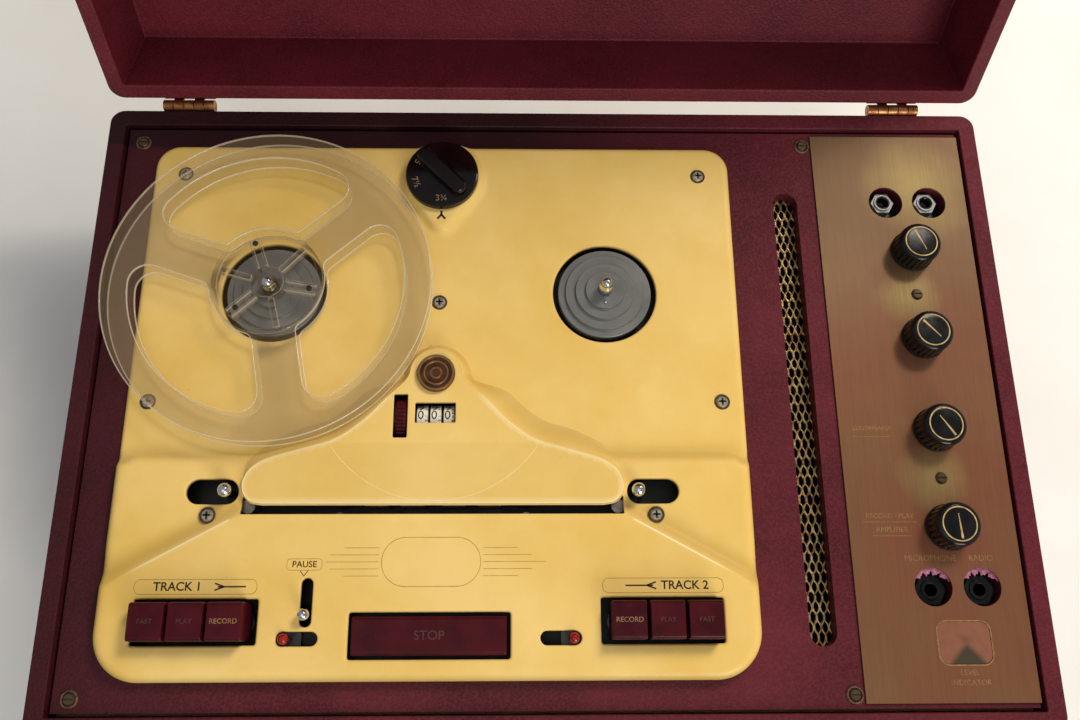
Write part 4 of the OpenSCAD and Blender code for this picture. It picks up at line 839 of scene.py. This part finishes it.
# ---- Record safety sliders ----
# A red translucent bead on a pin, riveted to a grey steel slide under the deck; it locks the record key.
red_bead = finish("red_translucent_bead", "#B81E18", "#8A1010", 2, 0.4, 0.01, (0.08, 0.16), Transmission_Weight=0.35)
slide_steel = finish("grey_slide_steel", "#8E9090", "#6A6C6C", 4, 0.4, 0.02, (0.35, 0.5), Metallic=0.8)
for side, s in (("left", -1), ("right", 1)):
    spot = DECK + (s*71.8, -185.5, 0)
    a = np.radians(np.linspace(-62, 90, 16))
    ball = [(0, -8.4), (1.5, -8.4), (1.5, 3.4)] + [(2.8*np.cos(t), 6 + 2.8*np.sin(t)) for t in a]
    piece(side + "_red_bead", turned(ball, spot, 32), red_bead, side + "_record_lock", "red_plastic",
          side + "_record_slider")
    plan = even(rounded(spot[:2], 12, 8, 1), 0.8)
    piece(side + "_slide", plate([plan], DECK[2] - 10.2, DECK[2] - 8.2, 0.2), slide_steel, side + "_record_lock",
          "red_plastic")

# ---- Keys ----
# Moulded maroon key caps on square stems, three on each side and a wide stop bar between them. Their words are
# stamped and filled with gold paint that fingers have worn thin.
# The small keys as the solids have them, and their caps as they are moulded; all in millimetres, on the deck.
SOLID_RISE, SOLID_PITCH, SOLID_MIDDLE = 13.0, 20.2, 116.3
CAP_WIDTH, CAP_RISE, CAP_PITCH, CAP_MIDDLE = 17.3, 17.0, 18.9, 117.5
KEYS_Y, STOP_Y, STOP_RISE = -177.3, -184.2, 7.0


def drawn_in(key, was, now):
    """The cap of one small key drawn in to its moulded width about a new middle, with its top raised; the stem under
    it, which is nearer the middle than 9 mm, stays where it is."""
    p = points_of(key.data)*1000 - DECK
    cap = np.abs(p[:, 0] - was) > 9
    p[cap & (p[:, 2] > SOLID_RISE - 3), 2] += CAP_RISE - SOLID_RISE
    p[cap, 0] = now + np.sign(p[cap, 0] - was)*CAP_WIDTH/2
    key.data.vertices.foreach_set("co", ((p + DECK)/1000).ravel())
    key.data.update()


# Worn gold paint: little of it is left, so it is close to the colour of the key; on the record keys more of it shows.
worn_gold = finish("worn_gold_paint", "#57392F", "#3E2022", 1.2, 0.3, 0.01, (0.5, 0.65))
kept_gold = finish("gold_filling_paint", "#A98656", "#7A5840", 1.2, 0.3, 0.01, (0.5, 0.65))
for s, side in ((-1, "left"), (1, "right")):
    for i, kind in enumerate(("record", "play", "fast")):
        middle = s*(CAP_MIDDLE + (i - 1)*CAP_PITCH)
        key = eased(side + "_" + kind + "_key", 0.7, maroon_moulding)
        drawn_in(key, s*(SOLID_MIDDLE + (i - 1)*SOLID_PITCH), middle)
        printed(side + "_" + kind + "_key_word", [words(kind.upper(), 3.4, (middle, KEYS_Y))], level(CAP_RISE),
                worn_gold if i else kept_gold, kind + "_key_" + side, "maroon_plastic")
eased("stop_key", 0.7, maroon_moulding)
printed("stop_word", [words("STOP", 6.4, (0, STOP_Y))], level(STOP_RISE), worn_gold, "stop_bar", "maroon_plastic")

# ---- Marks on the deck ----
# Fine lines and words screened on the cream moulding: a plain oval with speed lines, a frame and forked arrow over
# each row of keys, and a frame over the pause slot.


def ribbon(path, width, closed=False):
    """A flat line of one width along a path: two rows of points, half the width to each side."""
    if closed:
        n = outwards(path)
    else:
        t = np.gradient(path, axis=0)
        n = np.stack([t[:, 1], -t[:, 0]], 1)/np.linalg.norm(t, axis=1, keepdims=True)
    rows = np.stack([path - n*width/2, path + n*width/2])
    flat, faces = grid(np.dstack([rows, 0*rows[..., :1]]), round_columns=closed)
    return flat[:, :2], faces


def stroke(start, end, width):
    """A straight ribbon in short steps, so that it follows a curved surface."""
    return ribbon(np.linspace(start, end, 24), width)


track_y, pause_spot = -160.2, (-63.6, -149.4)
gold_lines = [ribbon(even(rounded((0, -148.2), 50, 24.4, 12), 0.8), 0.28, True)]
for i, reach in enumerate((44, 51, 58, 51, 44)):
    y, tip = -141.2 - 3.5*i, {-1: -min(reach, 53), 1: reach}
    gold_lines += [stroke((s*26.4, y), (tip[s], y), 0.22) for s in (-1, 1)]
gold_lines += [ribbon(even(rounded((s*117, track_y), 61, 7.2, 3), 0.8), 0.26, True) for s in (-1, 1)]
gold_lines += [ribbon(even(rounded(pause_spot, 17.6, 5.6, 1.6), 0.6), 0.24, True)]
# Thin brown-gold screen ink, worn in places.
gold_ink = finish("gold_screen_ink", "#B58F4A", "#8C6A30", 4, 0.5, 0.01, (0.4, 0.55))
printed("deck_lines", gold_lines, deck_height, gold_ink, "case", "cream_plastic")
dark_marks = [words("TRACK 1", 6.0, (-126, track_y), bold=0.1), words("TRACK 2", 6.0, (128, track_y), bold=0.1),
              words("PAUSE", 4.4, pause_spot, bold=0.05)]
for x, s in ((-98, 1), (104, -1)):
    dark_marks += [stroke((x - s*8, track_y), (x + s*6, track_y), 0.75)]
    dark_marks += [stroke((x - s*9.5, track_y + 1.7*v), (x - s*5, track_y + 0.1*v), 0.75) for v in (-1, 1)]
dark_marks += [stroke((pause_spot[0] + 2*v, -152.4), (pause_spot[0], -155.2), 0.35) for v in (-1, 1)]
# Dark brown screen ink.
brown_ink = finish("brown_screen_ink", "#3E2318", "#241310", 3, 0.4, 0.01, (0.4, 0.55))
printed("deck_words", dark_marks, deck_height, brown_ink, "case", "cream_plastic")
arrow = [stroke((0, 48.4), (0, 45.4), 1.2)] + [stroke((0, 46.0), (2.2*v, 43.4), 1.2) for v in (-1, 1)]
printed("speed_arrow", arrow, lambda p: deck_height(p) + 0.1, brown_ink, "case", "cream_plastic")
scribe = arc((0, -52.5), 65, 213, 327, 90)
# A painted highlight: a pale line that stands for the lit edge of a moulded step on the head cover.
arc_highlight_paint = finish("pale_arc_highlight", "#F6E2AC", "#EACF90", 4, 0.5, 0.01, (0.35, 0.5))
printed("head_cover_arc", [ribbon(scribe[scribe[:, 1] < -88], 0.3)], head_height, arc_highlight_paint, "case", "cream_plastic")

# ---- Fixing screws ----
# Pan-head screws with crossed slots hold the deck, each in a dark ring of dust and painted shade, as of a sunk seat;
# slotted ones in pressed cup washers hold the board, and two darker ones the panel.
screw_steel = finish("aged_screw_steel", "#C8BFAE", "#948B7C", 2, 0.3, 0.03, (0.3, 0.45), "#5A4A38", Metallic=0.6)
marked(eased("fixing_screws", 0.2, screw_steel, steps=2), "worn",
       lambda p: 1.0*((p[:, 0] > 240) | (p[:, 1] > 90) | (p[:, 1] < -207)))
rear = [(0, -5.9), (148.2, 73), (-148.2, 73), (154.2, -63), (-154.2, -63)]
flank = [(s*115.4, -124.3) for s in (-1, 1)]
sunk = [turned([(3.2, 0.02), (4.1, 0.02), (4.3, 0.2), (4.0, 0.35), (3.3, 0.25), (3.2, 0.02)], DECK + (*p, z), 40)
        for p, z in [(p, 0.0) for p in rear] + [(p, 4.0) for p in flank]]
crosses = [stroke(np.array(p) - d, np.array(p) + d, 1.05) for p in rear + flank
           for d in np.array([(1.75, 0), (0, 1.75)])]
printed("crossed_slots", crosses, lambda p: np.where(p[:, 1] < -100, 5.5, 1.5), black_ink, "case", "screw_steel")
# Dust and shadow round a screw head: a dull brown-black ring.
ring_dust_and_shade = finish("dusty_shaded_ring", "#5A4830", "#2C2218", 1.5, 0.4, 0.03, (0.6, 0.8))
piece("screw_rings", joined(*sunk), ring_dust_and_shade, "case", "screw_steel")
board_top = 157.0
cup = [(3.3, 0), (4.5, 0), (4.7, 0.2), (4.3, 0.7), (3.8, 0.95), (3.45, 0.85), (3.3, 0.5), (3.3, 0)]
cups = [turned(cup, (x, y, board_top), 40) for x in (-236.0, 152.0) for y in (153.0, -155.0)]
# Pressed brass washer, tarnished brown.
dull_washer = finish("tarnished_washer_brass", "#80604A", "#54382E", 2, 0.4, 0.04, (0.45, 0.6), Metallic=0.5)
piece("cup_washers", joined(*cups), dull_washer, "case", "screw_steel")

# ---- Control panel ----
# A sheet of brass, brushed along its length and lacquered, laid on the board and held by two screws. The lacquer has
# gone, so it is brown and pinkish with fine scratches and stained more yellow round the screws. Painted light: round
# the upper sockets the yellow is also the lamp's reflection, and towards the back the tone is darker and yellower.
brass = Skin("aged_brushed_brass", Metallic=0.5)
stain = brass.spread(brass.noise(85, 5.0, 0.6), 0.36, 0.64)
tone = brass.mix(stain, "#8A543C", "#8A6242")
# Painted light: towards the back the tone turns a darker, yellower brown, the colour of the lamp's glint there.
to_back = brass.node("SeparateXYZ", "Y", {"Vector": brass.where})
tone = brass.mix(brass.spread(to_back, 0.0, 0.1, end=0.85), tone, "#765E42")
# Yellow halos: a stain round the two screws, and round the upper sockets a painted reflection of the lamp as well.
for spot, reach in (((0.216, 0.127, 0.158), 0.034), ((0.2062, 0.0576, 0.158), 0.018),
                    ((0.2062, -0.0472, 0.158), 0.018)):
    away = brass.node("VectorMath", "Value", {0: brass.where, 1: spot}, operation="DISTANCE")
    away = brass.work("MULTIPLY_ADD", stain, -0.007, away)
    tone = brass.mix(brass.spread(away, 0.0, reach, 0.7, 0.0), tone, "#A8935A")
along = brass.node("Mapping", "Vector", {"Vector": brass.where, "Scale": (1000/0.9, 1000/40, 1.0)})
brush = brass.node("TexNoise", "Fac", {"Vector": along, "Scale": 1.0, "Detail": 3.0, "Roughness": 0.7})
tone = brass.mix(brass.spread(brush, 0.4, 0.75, end=0.3), tone, "#5C4230")
panel_brass = brass.wired(Base_Color=tone, Roughness=brass.spread(stain, start=0.42, end=0.36),
                          Normal=brass.bump(brush, 0.25, 0.06))
eased("brass_panel", 0.25, panel_brass, steps=2)

PANEL_TOP = -1.8
panel_marks = [((175.1, -19.1), "LOUDSPEAKER", 3.2), ((179.1, -66.3), "RECORD / PLAY", 3.6),
               ((179.7, -73.4), "AMPLIFIER", 3.8), ((197.9, -88.3), "MICROPHONE", 4.2),
               ((224.3, -88.3), "RADIO", 4.2), ((210.9, -144.8), "LEVEL", 3.8), ((210.9, -149.6), "INDICATOR", 3.8)]
shapes = [words(word, size, np.array(spot) - DECK[:2]) for spot, word, size in panel_marks]
shapes += [stroke(np.array((x0, y)) - DECK[:2], np.array((x1, y)) - DECK[:2], 0.3)
           for x0, x1, y in ((164.2, 184.5, -23.5), (164.2, 193.3, -69.4), (169.2, 189.7, -76.6))]
# Faint yellow paint left in engraved letters.
faint_paint = finish("faint_engraving_paint", "#BA9058", "#966C46", 1.5, 0.4, 0.01, (0.4, 0.55), Metallic=0.6)
printed("panel_words", shapes, level(PANEL_TOP), faint_paint, "case", "panel_brass")

# ---- Control knobs ----
# Black fluted mouldings pushed on the control shafts. The top is a shallow glossy dome with a tan ring and a tapered
# pointer line let into it.
knob_x, knob_z = 209.2, 159.0
skirt = [(0, 0), (11.9, 0), (12.2, 0.3), (12.2, 1.5), (11.8, 2.0), (11.8, 2.3), (11.75, 5), (11.65, 8.5), (11.6, 11.4),
         (11.55, 11.8), (11.4, 12.4), (10.9, 13.2), (10.2, 13.8), (9.5, 14.0), (7, 14.15), (3.5, 14.3), (0, 14.35)]
# Black compression moulding: deep gloss with grey dust between the flutes.
black_moulding = finish("black_moulding", "#161618", "#0A0A0B", 7, 0.6, 0.02, (0.14, 0.28), Specular_IOR_Level=0.3)
# Dull gold paint in the rings and pointer lines.
dull_gold = finish("dull_gold_paint", "#CDAD76", "#957A4E", 3, 0.4, 0.01, (0.45, 0.6))
shaft = [(0, -24), (3, -24), (3, 0.5), (0, 0.5)]
for name, y, turn in (("gain", 84.8, 114), ("tone", 32.4, 132), ("loudspeaker", -20.0, -56), ("function", -72.4, -87)):
    place = np.array([knob_x, y, knob_z])
    a = np.linspace(0, 2*np.pi, 192, endpoint=False)
    r, z = np.array(skirt).T[:, :, None]
    flute = 0.95*np.clip(np.cos(24*a), 0, 1)**1.5*((z > 1.9) & (z < 11.9))
    points = np.stack([(r - flute)*np.cos(a), (r - flute)*np.sin(a), z + 0*a], -1) + place
    piece(name + "_knob_cap", joined(grid(points, round_columns=True), turned(shaft, place, 24)), black_moulding,
          name + "_control", "black_moulding", name + "_knob")
    spot = place[:2] - DECK[:2]
    dome = lambda p: knob_z - DECK[2] + np.interp(np.hypot(*(p - spot).T), (0, 3.5, 7, 9.5), (14.35, 14.3, 14.15, 14.0))
    ring = ribbon(arc(spot, 8.7, 0, 355, 72), 0.65, True)
    t = np.linspace(-5.4, 7.4, 20)
    edge = np.stack([t, 0.16 + 0.45*(t + 5.4)/12.8], 1)
    rows = np.stack([turned_plan(edge*(1, s), turn, spot) for s in (-1, 1)])
    line, faces = grid(np.dstack([rows, 0*rows[..., :1]]))
    printed(name + "_pointer", [ring, (line[:, :2], faces)], dome, dull_gold, name + "_control", "black_moulding")

# ---- Jack sockets ----
# Screened sockets bolted under the chassis. The upper pair has bright hexagon nuts, the lower pair black ones; the
# cut edge of the leathercloth shows in the lower holes.
nut_alloy = finish("dull_nut_alloy", "#C2C3C0", "#9A9B98", 2, 0.3, 0.02, (0.4, 0.55), Metallic=0.4)
eased("upper_jacks", 0.12, nut_alloy, steps=2)
eased("lower_jacks", 0.3, black_moulding, steps=2)
jacks_x = (197.8, 223.2)
bushes = [turned([(3.0, -6), (3.1, 0.06), (4.1, 0.06), (4.2, 0.0)], (x, 118.0, 154.2), 40) for x in jacks_x]
piece("jack_bushes", joined(*bushes), black_moulding, "case", "chrome_plate", upward=True)
a, t = np.radians(np.linspace(15, 165, 60)), np.linspace(0, 1, 6)[:, None]
fray = 1 + 0.25*np.sin(11*a) + 0.18*np.sin(23*a + 1)
flaps = []
for x in jacks_x:
    r = 10.3 - t*3.4*np.sin((a - a[0])/(a[-1] - a[0])*np.pi)**0.5*fray
    flaps.append(grid(np.stack([x + r*np.cos(a), -102.8 + r*np.sin(a), 156.9 - 0.9*t**2 + 0*a], -1)))
# Back of the leathercloth: frayed pinkish cotton.
cotton = finish("frayed_pink_cotton", "#B87A92", "#8A4A64", 1.2, 0.3, 0.15, (0.8, 0.95))
piece("cloth_edges", joined(*flaps), cotton, "case", "covered_board", upward=True)

# ---- Level window ----
# A tuning-eye tube lies behind a rounded window of brown plastic with a gold outline; the fan of its screen shows
# through as a dark green patch.
glass = Skin("brown_window_plastic", Specular_IOR_Level=0.5)
middle = glass.node("Mapping", "Vector", {"Vector": glass.where, "Location": (-0.2111, 0.1309, 0)})
x, y = [glass.node("SeparateXYZ", axis, {"Vector": middle}) for axis in "XY"]
fan = glass.work("MULTIPLY_ADD", glass.work("ABSOLUTE", y), 0.9, 0.0006)
fan = glass.spread(glass.work("SUBTRACT", fan, glass.work("ABSOLUTE", x)), -0.0018, 0.0020)
fan = glass.work("MULTIPLY", fan, glass.spread(y, -0.003, 0.005, 0.95, 0.0))
cloud = glass.noise(6, 4.0)
tone = glass.mix(fan, glass.mix(cloud, "#744834", "#8C5C48"), "#3A3626")
brown_window = glass.wired(Base_Color=tone, Roughness=glass.spread(cloud, start=0.12, end=0.3))
pane_at = np.array((210.3, -130.4))
pane = even(rounded(pane_at, 26.8, 20.8, 4.9), 1.0)
piece("level_pane", plate([pane], 157.1, 158.0, 0.2), brown_window, "case", "tube_glass")
printed("level_outline", [ribbon(even(rounded(pane_at, 27.6, 21.6, 5.3), 0.8) - DECK[:2], 0.7, True)],
        level(PANEL_TOP), faint_paint, "case", "panel_brass")

# ---- Mechanism and amplifier ----
# What the covers hide: a chassis plate with motors, belts and flywheels under the deck, and a bent chassis with valves,
# transformers and controls under the panel, both painted black as a stand-in for the shade seen through slots and
# holes; the loudspeaker is behind the front grille.


def dress(skin, *names):
    """Gives CAD nodes that show as they are a material."""
    for name in names:
        nodes[name].data.materials.clear()
        nodes[name].data.materials.append(skin)


# Black enamel on both chassis: painted shade for what shows through the deck's slots and the panel's holes.
shade_black_enamel = finish("shade_black_enamel", "#161616", "#0A0A0A", 20, 1.0, 0.03, (0.35, 0.5))
plain_steel = finish("zinc_plated_steel", "#A2A5A8", "#7C8084", 18, 0.6, 0.03, (0.3, 0.45), Metallic=1.0)
dress(shade_black_enamel, "chassis_plate", "amplifier_chassis")
dress(plain_steel, "key_springs", "left_motor_rotor", "right_motor_rotor", "potentiometers")
dress(finish("grey_enamel", "#666A6E", "#54585C", 15, 0.8, 0.03, (0.35, 0.5)), "motors")
dress(finish("turned_alloy", "#8E9092", "#6C6E70", 12, 0.5, 0.02, (0.25, 0.4), Metallic=1.0), "left_flywheel",
      "right_flywheel")
dress(finish("black_rubber", "#34302E", "#221F1E", 6, 0.6, 0.05, (0.75, 0.9)), "drive_belts", "left_pinch_arm",
      "right_pinch_arm")
dress(finish("screened_head_metal", "#B4AFA4", "#8E897F", 5, 0.4, 0.02, (0.3, 0.45), Metallic=0.9), "tape_heads")
dress(finish("valve_glass", "#D2DADA", "#B8C2C2", 9, 1.0, 0.01, (0.04, 0.1), Transmission_Weight=0.7), "valves")
dress(finish("tube_screen_glass", "#34452E", "#20301E", 6, 1.0, 0.01, (0.06, 0.14)), "level_tube")
dress(finish("varnished_laminations", "#554F48", "#3A3631", 5, 0.5, 0.06, (0.4, 0.6), Metallic=0.4), "transformers")
dress(finish("black_speaker_frame", "#3A3836", "#242322", 8, 0.6, 0.04, (0.5, 0.65)), "loudspeaker")
eased("mains_inlet", 0.5, black_moulding)

# ---- Floor, light and camera ----
# A pale table top, soft lamps from the back right, above and the front, a small one for glints, and a camera over the
# front edge.
floor_mesh = bpy.data.meshes.new("table_top")
floor_mesh.from_pydata([(-6, -6, 0), (6, -6, 0), (6, 6, 0), (-6, 6, 0)], [], [(0, 1, 2, 3)])
floor = linked("table_top", floor_mesh)
floor_mesh.materials.append(finish("pale_laminate", "#F1F0EC", "#EBE9E4", 120, 2, 0.02, (0.5, 0.6)))
floor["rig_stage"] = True

world = bpy.data.worlds.new("studio")
bpy.context.scene.world = world
world.use_nodes = True
world.node_tree.nodes["Background"].inputs["Color"].default_value = linear("#E8ECF2")
world.node_tree.nodes["Background"].inputs["Strength"].default_value = 0.32


def lamp(name, place, target, size, watts, colour, glints=True):
    """A square soft lamp at a place, facing a target; sizes in metres. Without glints no reflection shows it."""
    light = bpy.data.lights.new(name, "AREA")
    light.size, light.energy, light.color = size, watts, linear(colour)[:3]
    thing = linked(name, light)
    thing.location = place
    thing.rotation_euler = (Vector(target) - Vector(place)).to_track_quat("-Z", "Y").to_euler()
    thing.visible_glossy = glints


lamp("right_lamp", (0.75, 0.85, 1.4), (0.0, 0.0, 0.1), 0.6, 20, "#FFF6E8", glints=False)
lamp("glint_lamp", (0.74, 0.82, 1.4), (0.0, 0.0, 0.1), 0.22, 3, "#FFF6E8")
lamp("top_lamp", (-0.1, -0.7, 1.6), (0.0, 0.0, 0.1), 1.2, 3, "#FFFBF2")
lamp("front_lamp", (0.7, -1.5, 0.95), (0.0, 0.1, 0.2), 0.8, 16, "#FFFBF2")

camera = bpy.data.cameras.new("camera")
camera.sensor_width, camera.lens = 36.0, 31.945
camera.clip_start = 0.01
eye = linked("camera", camera)
right, up, ahead = (0.9998, -0.0049, 0.0200), (-0.0013, 0.9536, 0.3009), (0.0206, 0.3009, -0.9534)
turn = Matrix((right, up, [-v for v in ahead])).transposed().to_4x4()
eye.matrix_world = Matrix.Translation((-0.0151, -0.1388, 0.6596)) @ turn
bpy.context.scene.camera = eye
bpy.context.scene.view_settings.view_transform = "Standard"

low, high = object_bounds()
